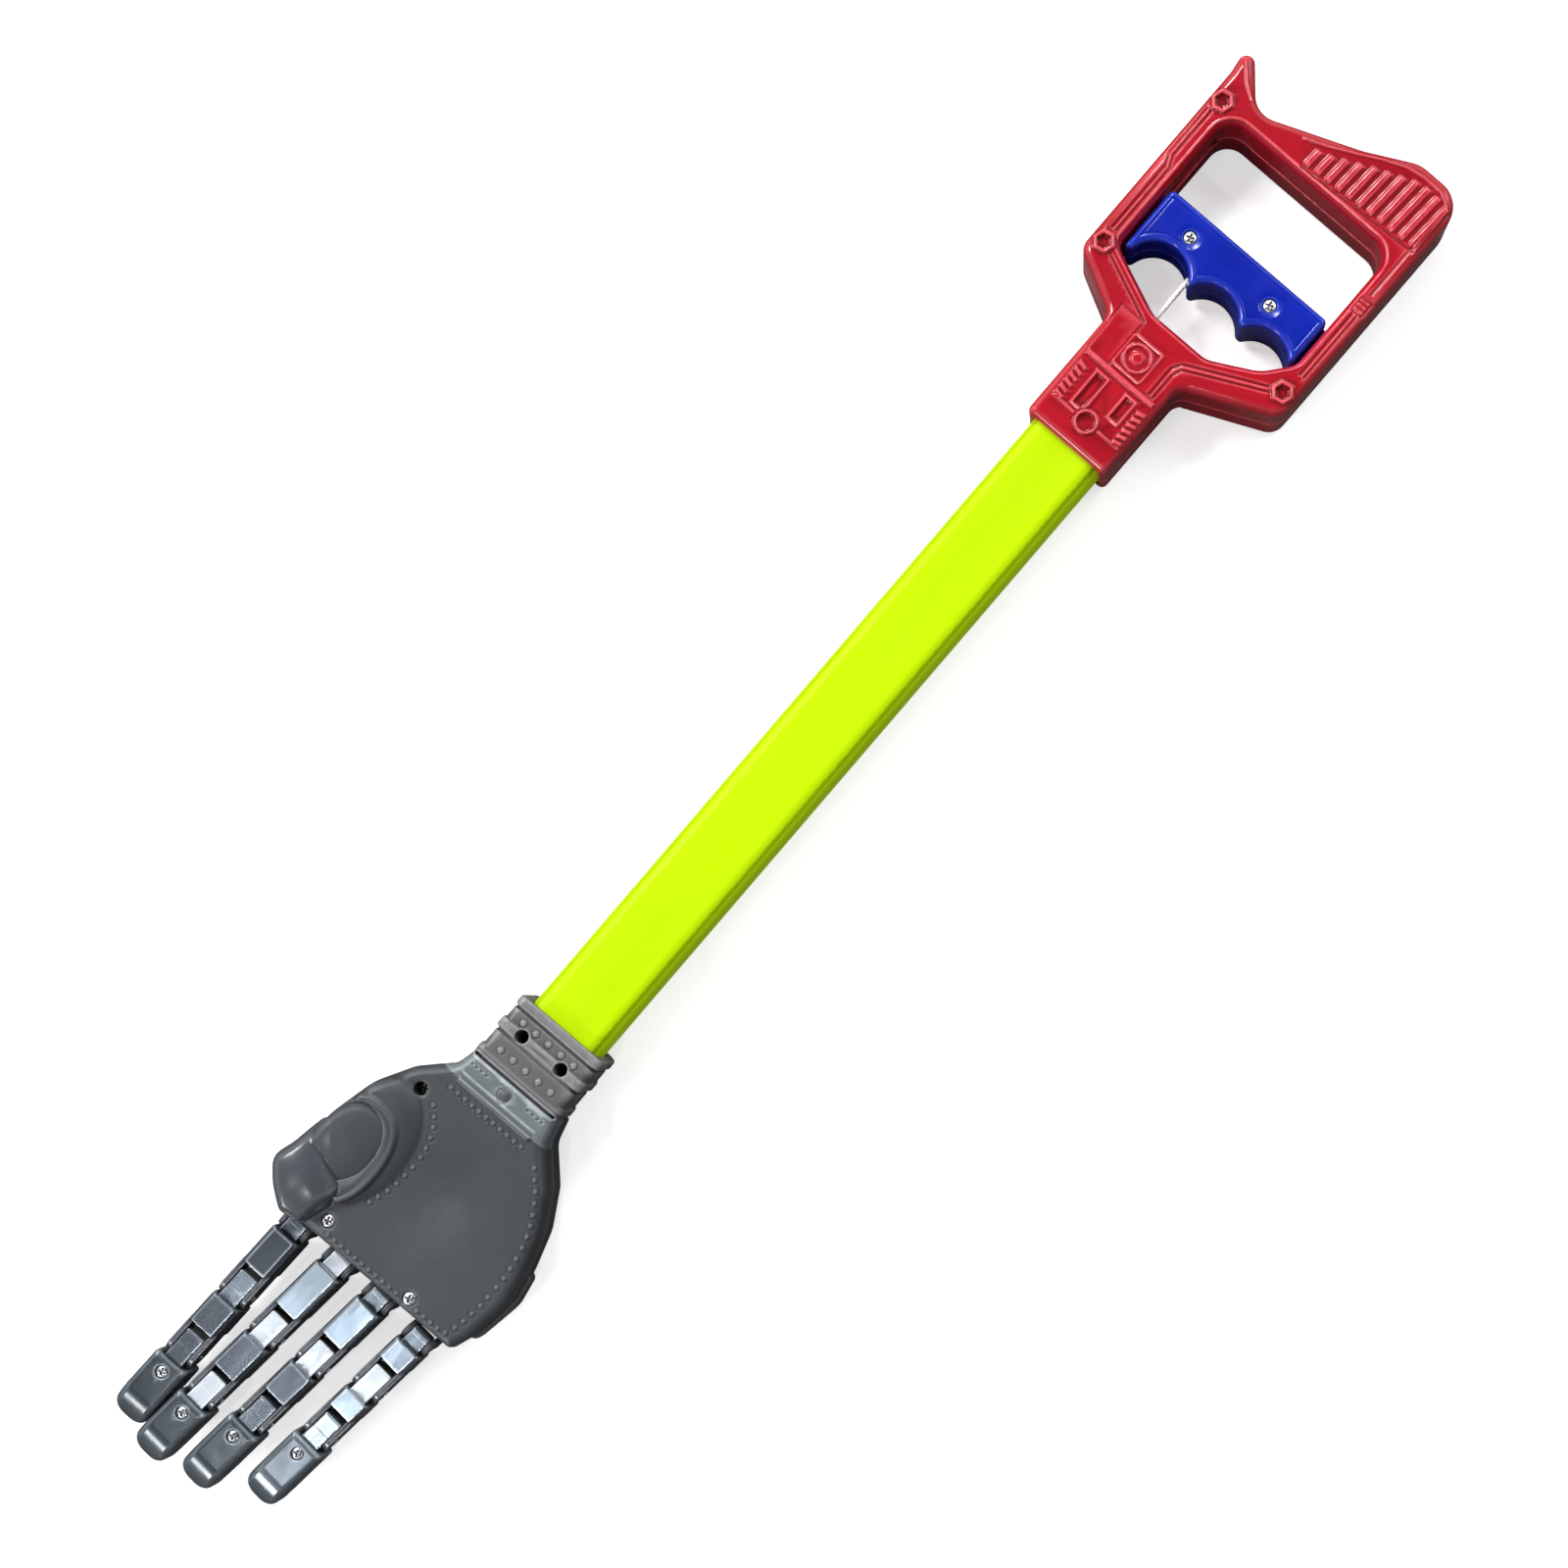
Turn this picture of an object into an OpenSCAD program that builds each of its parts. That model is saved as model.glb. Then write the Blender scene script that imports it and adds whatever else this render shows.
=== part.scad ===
// Toy reacher grabber with a robot hand: D-shaped pull handle, finger trigger,
// rectangular tube, palm with a fixed thumb and four cord-driven fingers.
// +X runs from the handle to the fingertips, +Y to the little finger, +Z out of the palm.
// The origin is under the middle of the object, on the plane it lies on.
// Parts are drawn about the tube centre line; "front" is the +Z side, "back" the -Z side.

/* [Tube] */
// Width of the tube across the object
tube_width = 26.5; // [20:0.5:34]
// Thickness of the tube
tube_thickness = 19.5; // [14:0.5:21]
// Wall of the tube
tube_wall = 1.6; // [1:0.1:3]

/* [Handle] */
// Half thickness of the handle, face to parting line
handle_half = 12.5; // [11:0.5:16]
// Wall of the handle shells
handle_wall = 2.2; // [1.6:0.1:3]

/* [Trigger] */
// Half thickness of the trigger
trigger_half = 9.5; // [6:0.5:11]
// Radius of each finger scallop
scallop_radius = 10.5; // [8:0.5:11]
// Distance between the scallops
scallop_pitch = 20; // [18:0.5:22]

/* [Hand] */
// Half thickness of the back shell
palm_back_half = 12.5; // [10:0.5:15]
// Half thickness of the palm side shell
palm_front_half = 11.8; // [10:0.1:14]
// Wall of the hand shells
palm_wall = 2; // [1.6:0.1:3]

/* [Fingers] */
// Width of the finger segments
finger_width = 10.4; // [9:0.1:11]
// Width of the hinge tongues
tongue_width = 6.5; // [5:0.1:7]
// Slot between the hinge cheeks
slot_width = 6.8; // [5.4:0.1:7.4]
// Top of the segments above the tube centre line
finger_top = 6.5; // [5:0.1:7]
// Underside of the segments below the tube centre line
finger_bottom = 6.5; // [5:0.1:7]
// Radius of the hinge pins
pin_radius = 1; // [0.8:0.05:1.3]
// Radial running clearance of the hinge pins
pin_gap = 0.05; // [0.02:0.01:0.1]

/* [Hidden] */
$fn = 48;
lift = palm_back_half;     // puts the back faces on z = 0
centre_shift = -2.45;      // centres the width on y = 0
far = 20;                  // past the faces, for open cuts

tube_x = [-165, 110];
tube_corner = 4;
tube_fit = 0.1;            // gap round the tube in its sockets

cord_y = -5.5;
cord_radius = 0.9;
cord_channel = 1.5;
slider_x = [149, 156];
finger_cord_y = [-13, -2, 6, 12];
finger_cord_radius = 0.6;

screw_radius = 1.25;
tight_hole = 1.27;
loose_hole = 1.4;
handle_screw_at = [[-196.6, 40.6], [-196.2, -30.6], [-252, -31], [-268, 34], [-175.5, 8.5]];
handle_seat = handle_half - 2.6;
trigger_screw_at = [[-215, 20], [-215, -12]];
trigger_seat = trigger_half - 1.3;
collar_screw_at = [[103, 7.75], [103, -7.75]];
neck_screw_at = [120, 0];
// [x, y], seat z, head radius, head height, boss radius in front, boss radius in back,
// height from which the bosses start on either side of the parting plane
palm_screw_table = [
  [[186, 18], palm_front_half - 1.5, 2.1, 1.3, 3, 3, -2],
  [[184, -16.2], palm_front_half - 1.5, 2.1, 1.3, 3, 3, -2],
  [[135, -21], 5, 2.1, 1.5, 3.4, 3, -2],
  [neck_screw_at, palm_front_half - 0.9, 1.8, 1.2, 2.8, 2.8, 4.5]];

collar_x = [92, 117.5];
collar_width = 33.2;
collar_corner = 2.5;
mound_centre = [160, -24.5, -14.5];
mound_radius = 30.4;

pivot_z = 1.5;             // finger pivots above the tube centre line
hinge_reach = 8.2;         // end of a block to its next pivot
join = 0.5;                // overlap of tongues and cheeks with their block
cheek_radius = 4.4;
cheek_thickness = (finger_width - slot_width) / 2;
hinge_pin_length = finger_width + 0.6;
tip_width = 12.4;
tip_screw_inset = 4.6;
tip_seat = 5.7;
// knuckle pivot [x, y], splay, then the [start, end] of the proximal block, the middle block
// and the tip, all along the finger from the knuckle pivot
index_finger = [[194.0, -24.1], -1.5, [3.3, 17.6], [30.5, 42.0], [55.0, 78.0]];
middle_finger = [[194.0, -7.0], -5.0, [3.3, 21.2], [34.1, 47.8], [60.7, 83.2]];
ring_finger = [[194.2, 9.5], -5.3, [3.3, 18.6], [31.4, 43.2], [55.9, 80.2]];
little_finger = [[195.6, 27.0], -5.4, [3.3, 11.4], [25.0, 32.6], [45.6, 69.4]];
fingers = [index_finger, middle_finger, ring_finger, little_finger];
function middle_pivot(finger) = finger[2][1] + hinge_reach;
function tip_pivot(finger) = finger[3][1] + hinge_reach;

handle_red = [0.70, 0.10, 0.13];
trigger_blue = [0.10, 0.16, 0.66];
bright_steel = [0.80, 0.80, 0.82];
pin_steel = [0.75, 0.75, 0.77];

// ---------- outlines: counter-clockwise points [x, y, corner radius] ----------
handle_outline = [[-142, -15.5, 2], [-142, 15.5, 2], [-177, 15.5, 5], [-190.5, 45.2, 6],
  [-277.3, 45.2, 9], [-277.3, 27, 12], [-269, 11, 30], [-256.2, -21, 8], [-270.3, -33.4, 2.6],
  [-266.6, -36.1, 2.2], [-261, -35.3, 6], [-190.6, -35.3, 5], [-180.4, -15.5, 5]];
handle_window = [[-250.5, -27, 7], [-198.5, -27, 4], [-189.5, -5, 12], [-189.5, 16, 8],
  [-197.5, 31, 15], [-206, 38, 6], [-250.5, 38, 7]];
trigger_outline = [[-223, -26, 2], [-199.8, -26, 0.8], [-201.4, -22, 1], [-204.3, -3, 2],
  [-204.8, 17, 2], [-203.6, 32, 1], [-206.6, 36.6, 0.8], [-223, 36.8, 2]];
trigger_hollow = [[-220.8, -23.8, 1], [-212, -23.8, 1], [-212.5, 34.6, 1], [-220.8, 34.6, 1]];
// -Y and +Y edges shared by both hand shells
palm_low = [[93, -16.6, 1], [116, -16.6, 3], [122, -18, 6], [131, -27, 10], [143, -33.8, 20],
  [158, -37.4, 20], [173, -37.8, 10], [185, -34.5, 6]];
palm_high = [[184, 39.4, 8], [170, 41.4, 20], [159, 39.4, 20], [146, 35.3, 20],
  [134, 28.3, 12], [124, 18.8, 8], [116, 16.6, 3], [93, 16.6, 1]];
palm_front_outline = concat(palm_low, [[190.1, -30.5, 1.5], [190.1, 37, 1.5]], palm_high);
palm_back_outline = concat(palm_low, [[194.2, -30.5, 2], [194.2, 36, 2]], palm_high);
// tabs on the two edges of the back shell
palm_tab_high = [[158, 36, 1], [187, 36, 2], [186, 40.4, 2.5], [170, 43, 12], [160.5, 41.2, 2]];
palm_tab_low = [[158, -35, 1], [159, -38.6, 2], [173, -39.6, 10], [184.6, -36.8, 3],
  [187, -33, 1]];
// hollow of the hand
palm_core = [[112, -14.4, 1], [116, -14.4, 2], [122, -15.6, 5], [131, -24.3, 8],
  [143, -31.4, 16], [158, -35.2, 16], [173, -35.4, 8], [184, -32, 4], [188, -28.4, 1],
  [188, 35, 1], [183.6, 37.2, 6], [170, 39.2, 18], [159, 37.2, 18], [146, 33.2, 18],
  [134.6, 26.2, 10], [124.6, 16.8, 7], [116, 14.4, 2], [112, 14.4, 1]];
palm_dish = [[131, -14.5, 3], [185, -10, 3], [185, 31, 4], [176, 33, 8], [160, 32.6, 10],
  [146, 28, 10], [131, 17, 5]];
thumb_outline = [[158, -35.2, 1.8], [160.5, -38, 4], [171, -39, 16], [178.6, -41.3, 5.5],
  [185, -35.6, 10], [190.6, -29.2, 3], [190, -21.6, 3], [180, -17.2, 4], [174.5, -17.2, 4],
  [170, -24.5, 8]];
slider_outline = [[slider_x[0], -17.5, 1.5], [slider_x[1], -17.5, 1.5],
  [slider_x[1], 15.5, 1.5], [slider_x[0], 15.5, 1.5]];

// ---------- helpers ----------
function unit(v) = v / norm(v);
// the points before, at and after corner i, going round the outline
function before(outline, i) = outline[(i + len(outline) - 1) % len(outline)];
function after(outline, i) = outline[(i + 1) % len(outline)];
function flat(point) = [point[0], point[1]];

// outline to plain points, each corner an arc of the given number of steps
function rounded(outline, steps = 5) = [for (i = [0:len(outline) - 1])
  let (corner = flat(outline[i]), radius = outline[i][2],
       to_before = unit(flat(before(outline, i)) - corner),
       to_after = unit(flat(after(outline, i)) - corner),
       half_angle = acos(max(-1, min(1, to_before * to_after))) / 2,
       start = corner + to_before * (radius / tan(half_angle)),
       end = corner + to_after * (radius / tan(half_angle)),
       centre = corner + unit(to_before + to_after) * (radius / sin(half_angle)),
       angle = atan2(start[1] - centre[1], start[0] - centre[0]),
       turn = atan2(end[1] - centre[1], end[0] - centre[0]) - angle,
       sweep = turn > 180 ? turn - 360 : turn < -180 ? turn + 360 : turn)
  for (k = [0:steps])
    centre + radius * [cos(angle + sweep * k / steps), sin(angle + sweep * k / steps)]];

// moves every edge of an outline inwards by a distance
function inset(outline, distance) = [for (i = [0:len(outline) - 1])
  let (corner = outline[i],
       edge_in = unit(flat(corner) - flat(before(outline, i))),
       edge_out = unit(flat(after(outline, i)) - flat(corner)),
       normal_in = [-edge_in[1], edge_in[0]],
       normal_out = [-edge_out[1], edge_out[0]],
       middle = unit(normal_in + normal_out),
       shift = distance / (middle * normal_in),
       turn = edge_in[0] * edge_out[1] - edge_in[1] * edge_out[0])
  [corner[0] + middle[0] * shift, corner[1] + middle[1] * shift,
   max(0.4, turn > 0 ? corner[2] - distance : corner[2] + distance)]];

function rectangle(width, height, radius) = [[-width / 2, -height / 2, radius],
  [width / 2, -height / 2, radius], [width / 2, height / 2, radius],
  [-width / 2, height / 2, radius]];

// superellipse, between an ellipse and a rectangle, as plain points
function oval(centre, radii, steps = 36) = [for (i = [0:steps - 1])
  let (t = 360 * (i + 0.5) / steps, power = 2 / 2.4)
  [centre[0] + radii[0] * sign(cos(t)) * pow(abs(cos(t)), power),
   centre[1] + radii[1] * sign(sin(t)) * pow(abs(sin(t)), power)]];

// In the shapes below x, y and z are [from, to] ranges and "at" is a point [x, y].
module place() {
  translate([0, centre_shift, lift]) children();
}
module flip_z() {
  mirror([0, 0, 1]) children();
}
module slab(outline, z, steps = 5) {
  translate([0, 0, z[0]]) linear_extrude(z[1] - z[0]) polygon(rounded(outline, steps));
}
module box(x, y, z) {
  translate([x[0], y[0], z[0]]) cube([x[1] - x[0], y[1] - y[0], z[1] - z[0]]);
}
// rounded rectangle of the YZ plane drawn out along X
module bar(width, thickness, radius, x) {
  translate([x[0], 0, 0]) rotate([90, 0, 90]) linear_extrude(x[1] - x[0])
    polygon(rounded(rectangle(width, thickness, radius), 6));
}
module rod(at, z, radius) {
  translate([at[0], at[1], z[0]]) cylinder(r = radius, h = z[1] - z[0]);
}
module x_rod(x, y, radius) {
  translate([x[0], y, 0]) rotate([0, 90, 0]) cylinder(r = radius, h = x[1] - x[0]);
}
module ball(centre, radius) {
  translate(centre) sphere(r = radius, $fn = 64);
}
// screw with a cross recess, head towards +Z
module screw(at, seat, end, head_radius, head_height) {
  top = seat + head_height;
  long = head_radius * 0.65;
  short = 0.3;
  translate([at[0], at[1], 0]) difference() {
    union() {
      rod([0, 0], [seat, top], head_radius);
      rod([0, 0], [end, seat + 0.1], screw_radius);
    }
    for (half = [[short, long], [long, short]])
      box([-half[0], half[0]], [-half[1], half[1]], [top - 0.7, top + 1]);
  }
}
module tube_socket(x) {
  bar(tube_width + 2 * tube_fit, tube_thickness + 2 * tube_fit, tube_corner + tube_fit, x);
}

// ---------- handle ----------
// [x], [y], depth of the rectangles sunk in the front face
handle_marks = [
  [[-248, -226], [-32.9, -32.1], 0.6], [[-225, -201], [-31.2, -30.4], 0.6],
  [[-229, -203], [41.1, 41.9], 0.6], [[-181, -170], [-5, 6], 0.5],
  [[-165, -156], [5, 9], 0.6], [[-165, -152], [-6, -2], 0.6]];
neck_ring_at = [-150.5, 1];

// one side of the handle, from the parting plane up
module handle_side() {
  difference() {
    union() {
      difference() {
        intersection() {
          slab(handle_outline, [0, handle_half]);
          union() {
            box([-300, -176], [-60, 60], [0, handle_half]);
            bar(31, 2 * handle_half, 3, [-176, -141]);
          }
        }
        slab(handle_window, [-1, handle_half + 1]);
        // hollow, leaving a rim round the window and the neck solid
        difference() {
          slab(inset(handle_outline, handle_wall), [-1, handle_half - handle_wall]);
          slab(inset(handle_window, -handle_wall), [-2, handle_half]);
          box([-171, -140], [-20, 20], [-2, handle_half]);
        }
      }
      // screw bosses
      for (at = handle_screw_at) intersection() {
        rod(at, [0, handle_half - 1], 3.1);
        slab(inset(handle_outline, 0.3), [0, handle_half]);
      }
    }
    tube_socket([tube_x[0] - 0.2, -140]);
    x_rod([-200, -160], cord_y, cord_channel);
    // guide slots of the trigger
    for (y = [[37, 41], [-30.2, -26]]) box([-246, -204], y, [-1, 3]);
  }
}
module handle_front_shell() {
  face = handle_half;
  color(handle_red) place() difference() {
    union() {
      difference() {
        handle_side();
        // leaning row of louvres
        for (i = [0:9]) translate([-262.6 - 0.9 * i, 2.5 + 4.185 * i, face - 0.8])
          rotate([0, 0, 2]) box([-6.2, 6.2], [-0.7, 0.7], [0, 2]);
        for (mark = handle_marks) box(mark[0], mark[1], [face - mark[2], far]);
        // two rows of short grooves on the neck
        for (i = [0:5], y = [11.3, -11.6])
          box([-164 + 2.2 * i, -162.9 + 2.2 * i], [y, y + 2.6], [face - 0.6, far]);
      }
      // raised rib, disc, hexagons and ring
      box([-168.3, -166.9], [-13, 13], [face - 0.5, face + 0.5]);
      rod([-175.5, 0.5], [face - 0.7, face + 0.3], 3.6);
      for (i = [0:2]) rod(handle_screw_at[i], [face - 0.5, face + 0.5], 3.3, $fn = 6);
      rod(neck_ring_at, [face - 0.5, face + 0.5], 3.8);
    }
    rod(neck_ring_at, [face - 0.4, far], 3);
    for (i = [0:2]) rod(handle_screw_at[i], [face - 0.4, face + 1.6], 2.2, $fn = 6);
    for (at = handle_screw_at) rod(at, [-1, 8.5], tight_hole);
  }
}
module handle_back_shell() {
  color(handle_red) place() difference() {
    flip_z() handle_side();
    for (at = handle_screw_at) {
      rod(at, [-far, 1], loose_hole);
      rod(at, [-far, -handle_seat], 2.6);
    }
  }
}
module handle_screws() {
  color([0.72, 0.72, 0.74]) place() flip_z() for (at = handle_screw_at)
    screw(at, seat = handle_seat, end = -8, head_radius = 2.5, head_height = 1.7);
}

// ---------- trigger and pull cord ----------
// one side of the trigger, from the parting plane up
module trigger_side() {
  difference() {
    union() {
      difference() {
        slab(trigger_outline, [0, trigger_half], 3);
        for (i = [0:2]) rod([-199.2, 27 - scallop_pitch * i], [-1, 19], scallop_radius);
      }
      // rails that run in the guide slots of the handle
      for (y = [[36, 40.2], [-29.3, -25]]) box([-222, -208], y, [0, 2.6]);
    }
    slab(trigger_hollow, [-1, trigger_half - 2], 3);
    x_rod([-216, -196], cord_y, cord_radius + 0.15);
  }
  for (at = trigger_screw_at) rod(at, [0, trigger_half - 1], 2.9);
}
module trigger_front_half() {
  color(trigger_blue) place() difference() {
    trigger_side();
    for (at = trigger_screw_at) {
      rod(at, [-1, far], loose_hole);
      rod(at, [trigger_seat, far], 2.2);
    }
  }
}
module trigger_back_half() {
  color(trigger_blue) place() difference() {
    flip_z() trigger_side();
    for (at = trigger_screw_at) rod(at, [-7, 1], tight_hole);
  }
}
module trigger_screws() {
  color(bright_steel) place() for (at = trigger_screw_at)
    screw(at, seat = trigger_seat, end = -6.5, head_radius = 2.1, head_height = 1.2);
}
// cord with a ball at the trigger end
module pull_cord() {
  color([0.92, 0.92, 0.90]) place() {
    x_rod([-213, 150], cord_y, cord_radius);
    translate([-213, cord_y, 0]) sphere(r = 1.9);
    x_rod([149.5, 157.5], cord_y, cord_radius);
  }
}

// ---------- tube ----------
module tube() {
  color([0.80, 0.98, 0.02]) place() difference() {
    bar(tube_width, tube_thickness, tube_corner, tube_x);
    bar(tube_width - 2 * tube_wall, tube_thickness - 2 * tube_wall, tube_corner - tube_wall,
      [tube_x[0] - 1, tube_x[1] + 1]);
    for (at = collar_screw_at) {
      rod(at, [0, far], 2.9);
      rod(at, [-far, 0], loose_hole);
    }
  }
}

// ---------- hand ----------
// base and end segment of the thumb, grown on all sides
module thumb_shape(growth) {
  intersection() {
    translate([0, 0, 8.6 - growth]) linear_extrude(12)
      polygon(oval([163.4, -26], [15.9 + growth, 10.4 + growth]));
    ball([162, -27, -14], 32.6 + growth);
  }
  intersection() {
    slab(inset(thumb_outline, -growth), [9 - growth, 23], 6);
    ball([177, -30, -20], 40.4 + growth);
  }
}
module collar_bands() {
  bar(34.6, 24.1, 2.4, [93.2, 96.3]);
  bar(35, 24.1, 2.4, [101.4, 105]);
}
module rivet(x, y, z = palm_front_half) {
  translate([x, y, z]) sphere(r = 0.7, $fn = 16);
}
module finger_openings(z) {
  for (finger = fingers) knuckle_frame(finger) box([-9, 4], [-3.6, 3.6], z);
}
module hand_passages() {
  tube_socket([90, tube_x[1] + 0.2]);
  x_rod([109, 115], cord_y, cord_channel);
}
module palm_front_outside() {
  face = palm_front_half;
  intersection() {
    union() {
      slab(palm_front_outline, [0, face - 3]);
      slab(inset(palm_front_outline, 1.4), [face - 3.1, face]);
    }
    union() {
      bar(collar_width, 23.4, collar_corner, collar_x);
      box([collar_x[1], 200], [-60, 60], [0, face]);
    }
  }
  // collar bands and the rib in front of them
  intersection() {
    union() {
      collar_bands();
      box([118, 124.8], [-15, 15], [2, face + 0.3]);
    }
    box([90, 126], [-20, 20], [0, 14]);
  }
  // mound that carries the thumb
  intersection() {
    ball(mound_centre, mound_radius);
    slab(inset(palm_front_outline, 1.2), [5, 20]);
    box([136, 187], [-40, -4], [5, 20]);
  }
  rod(neck_screw_at, [face - 1, face + 0.6], 2.6);
  for (y = [-14:3:14]) rivet(128.6, y);
  for (y = [-12:3:30]) rivet(187.4, y);
  for (x = [99.4, 110], y = [-10:5:10]) rivet(x, y, face - 0.1);
}
// hollow, leaving the screw bosses and the underside of the mound solid
module palm_front_hollow() {
  difference() {
    slab(palm_core, [-1, palm_front_half - palm_wall]);
    for (entry = palm_screw_table) rod(entry[0], [entry[6], far], entry[4]);
    intersection() {
      ball(mound_centre, mound_radius - 3);
      box([140, 184], [-38, -11], [4, 20]);
    }
  }
}
module palm_front_shell() {
  face = palm_front_half;
  color([0.34, 0.35, 0.37]) place() {
    difference() {
      union() palm_front_outside();
      palm_front_hollow();
      hand_passages();
      // grooves across the collar
      box([115.3, 116.1], [-20, 20], [face - 0.9, far]);
      box([96.3, 96.9], [-20, 20], [face - 0.6, far]);
      slab(palm_dish, [face - 0.5, far]);
      for (at = collar_screw_at) rod(at, [0, far], 2.1);
      for (entry = palm_screw_table) {
        rod(entry[0], [-1, far], loose_hole);
        rod(entry[0], [entry[1], far], entry[2] + 0.1);
      }
      finger_openings([-1, 5.4]);
      thumb_shape(0.02);
    }
    // sleeves that guide the screwdriver to the collar screws
    for (at = collar_screw_at) difference() {
      rod(at, [1.6, 10.6], 2.8);
      rod(at, [0, far], 2.1);
    }
  }
}
module palm_back_outside() {
  intersection() {
    flip_z() {
      slab(palm_back_outline, [7.4, palm_back_half]);
      slab(palm_front_outline, [0, 8]);
      slab(palm_tab_high, [1.6, 9.6]);
      slab(palm_tab_low, [1.6, 9.6]);
    }
    union() {
      translate([0, 0, -0.4])
        bar(collar_width, 2 * palm_back_half - 0.8, collar_corner, collar_x);
      box([collar_x[1], 200], [-60, 60], [-palm_back_half, 0]);
    }
    box([90, 200], [-60, 60], [-palm_back_half, 0]);
  }
  intersection() {
    collar_bands();
    box([90, 126], [-20, 20], [-12, 0]);
  }
}
module palm_back_shell() {
  color([0.30, 0.31, 0.33]) place() difference() {
    union() {
      difference() {
        union() palm_back_outside();
        // hollow, leaving the screw bosses solid
        difference() {
          flip_z() slab(palm_core, [-1, palm_back_half - palm_wall]);
          for (entry = palm_screw_table) rod(entry[0], [-far, -entry[6]], entry[5]);
        }
        finger_openings([-4.6, 1]);
      }
      // knuckle ears
      for (finger = fingers) knuckle_frame(finger) cheek_pair() {
        translate([0, pivot_z, 0]) cylinder(r = 3, h = cheek_thickness);
        translate([-3, -8.5, 0]) cube([4.4, 8.6 + pivot_z, cheek_thickness]);
      }
    }
    hand_passages();
    for (finger = fingers) knuckle_frame(finger) hinge_rod(0, pin_radius + 0.02);
    for (at = collar_screw_at) rod(at, [-11.6, 1], tight_hole);
    for (entry = palm_screw_table) rod(entry[0], [-9.6, 1], tight_hole);
  }
}
module thumb() {
  color([0.36, 0.38, 0.41]) place() difference() {
    thumb_shape(0);
    box([140, 200], [-60, 0], [-20, palm_front_half - palm_wall - 1]);
    // sloping flank on the +Y side of the end segment
    translate([182, -21.7, 18.8]) rotate([0, 0, -10.6]) rotate([-48, 0, 0])
      box([-20, 20], [0, 20], [0, 20]);
  }
}
module palm_screws() {
  color([0.76, 0.77, 0.78]) place() for (entry = palm_screw_table)
    screw(entry[0], seat = entry[1], end = -9, head_radius = entry[2], head_height = entry[3]);
}
// their heads sit on the inside of the tube's back wall
module collar_screws() {
  color([0.50, 0.50, 0.52]) place() for (at = collar_screw_at)
    screw(at, seat = -tube_thickness / 2 + tube_wall + 0.06, end = -11.4,
      head_radius = 2, head_height = 1.5);
}
module cord_slider() {
  color([0.85, 0.84, 0.80]) place() difference() {
    slab(slider_outline, [-2.5, 2.5], 4);
    x_rod([140, 170], cord_y, cord_radius + 0.02);
    for (y = finger_cord_y) x_rod([150, 160], y, finger_cord_radius + 0.02);
  }
}
// zigzag stack of tilted rings round the pull cord
module return_spring() {
  color([0.70, 0.70, 0.72]) place() for (i = [0:11])
    translate([117.6 + 2.6 * i, cord_y, 0]) rotate([0, 0, (i % 2 == 0 ? 1 : -1) * 27])
      rotate([0, 90, 0]) rotate_extrude() translate([2.8, 0]) circle(r = 0.35, $fn = 16);
}
// each cord has a straight end in the slider and runs slanting to its knuckle
module finger_cords() {
  color([0.93, 0.93, 0.91]) place() for (i = [0:3]) {
    y = finger_cord_y[i];
    slant = atan2(fingers[i][0][1] - y, 190 - slider_x[1]);
    translate([slider_x[1] + 0.1, y, 0]) rotate([0, 90, slant])
      cylinder(r = finger_cord_radius, h = (190.2 - slider_x[1]) / cos(slant));
    x_rod([151, 156.4], y, finger_cord_radius);
  }
}
module knuckle_pins() {
  color(pin_steel) place() for (finger = fingers)
    knuckle_frame(finger) hinge_rod(0, pin_radius, finger_width - 0.2);
}

// ---------- fingers ----------
// origin on the knuckle of a finger, X along the finger
module knuckle_frame(finger) {
  translate([finger[0][0], finger[0][1], 0]) rotate([0, 0, finger[1]]) children();
}
// cylinder across the finger on the pivot at x
module hinge_rod(x, radius, length = 30) {
  translate([x, 0, pivot_z]) rotate([90, 0, 0])
    cylinder(r = radius, h = length, center = true);
}
// children drawn in the XZ plane of the finger, repeated for both cheeks
module cheek_pair() {
  for (side = [-1, 1]) translate([0, side * (slot_width + finger_width) / 4, 0])
    rotate([90, 0, 0]) translate([0, 0, -cheek_thickness / 2]) children();
}
// tongue round a pivot, reaching forward to the block
module tongue(pivot, block_start, back, half_height) {
  y = [-tongue_width / 2, tongue_width / 2];
  z = [pivot_z - half_height, pivot_z + half_height];
  intersection() {
    hinge_rod(pivot, back * 1.22, tongue_width);
    box([pivot - back, pivot + back * 1.3], y, z);
  }
  box([pivot, block_start + join], y, z);
}
// block with a tongue at its own pivot and cheeks round the next one
module linked_segment(span, pivot, next_pivot, tongue_back, tongue_half) {
  cheek_start = span[1] - join;
  difference() {
    union() {
      translate([0, 0, (finger_top - finger_bottom) / 2])
        bar(finger_width, finger_top + finger_bottom, 1.6, span);
      // raised plate on top
      box([span[0] + 0.4, span[1] - 0.4], [-3.9, 3.9], [finger_top - 1, finger_top + 0.4]);
      tongue(pivot, span[0], tongue_back, tongue_half);
      cheek_pair() {
        translate([next_pivot, pivot_z, 0]) cylinder(r = cheek_radius, h = cheek_thickness);
        translate([cheek_start, pivot_z - cheek_radius, 0])
          cube([next_pivot - cheek_start, 2 * cheek_radius, cheek_thickness]);
      }
    }
    hinge_rod(pivot, pin_radius + pin_gap);
    hinge_rod(next_pivot, pin_radius + 0.02);
  }
}
module proximal(finger) {
  color([0.62, 0.66, 0.70]) place() knuckle_frame(finger)
    linked_segment(finger[2], pivot = 0, next_pivot = middle_pivot(finger),
      tongue_back = 2.7, tongue_half = 2.7);
}
module middle(finger) {
  color([0.52, 0.55, 0.58]) place() knuckle_frame(finger)
    linked_segment(finger[3], pivot = middle_pivot(finger), next_pivot = tip_pivot(finger),
      tongue_back = 5.7, tongue_half = 3.9);
}
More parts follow.
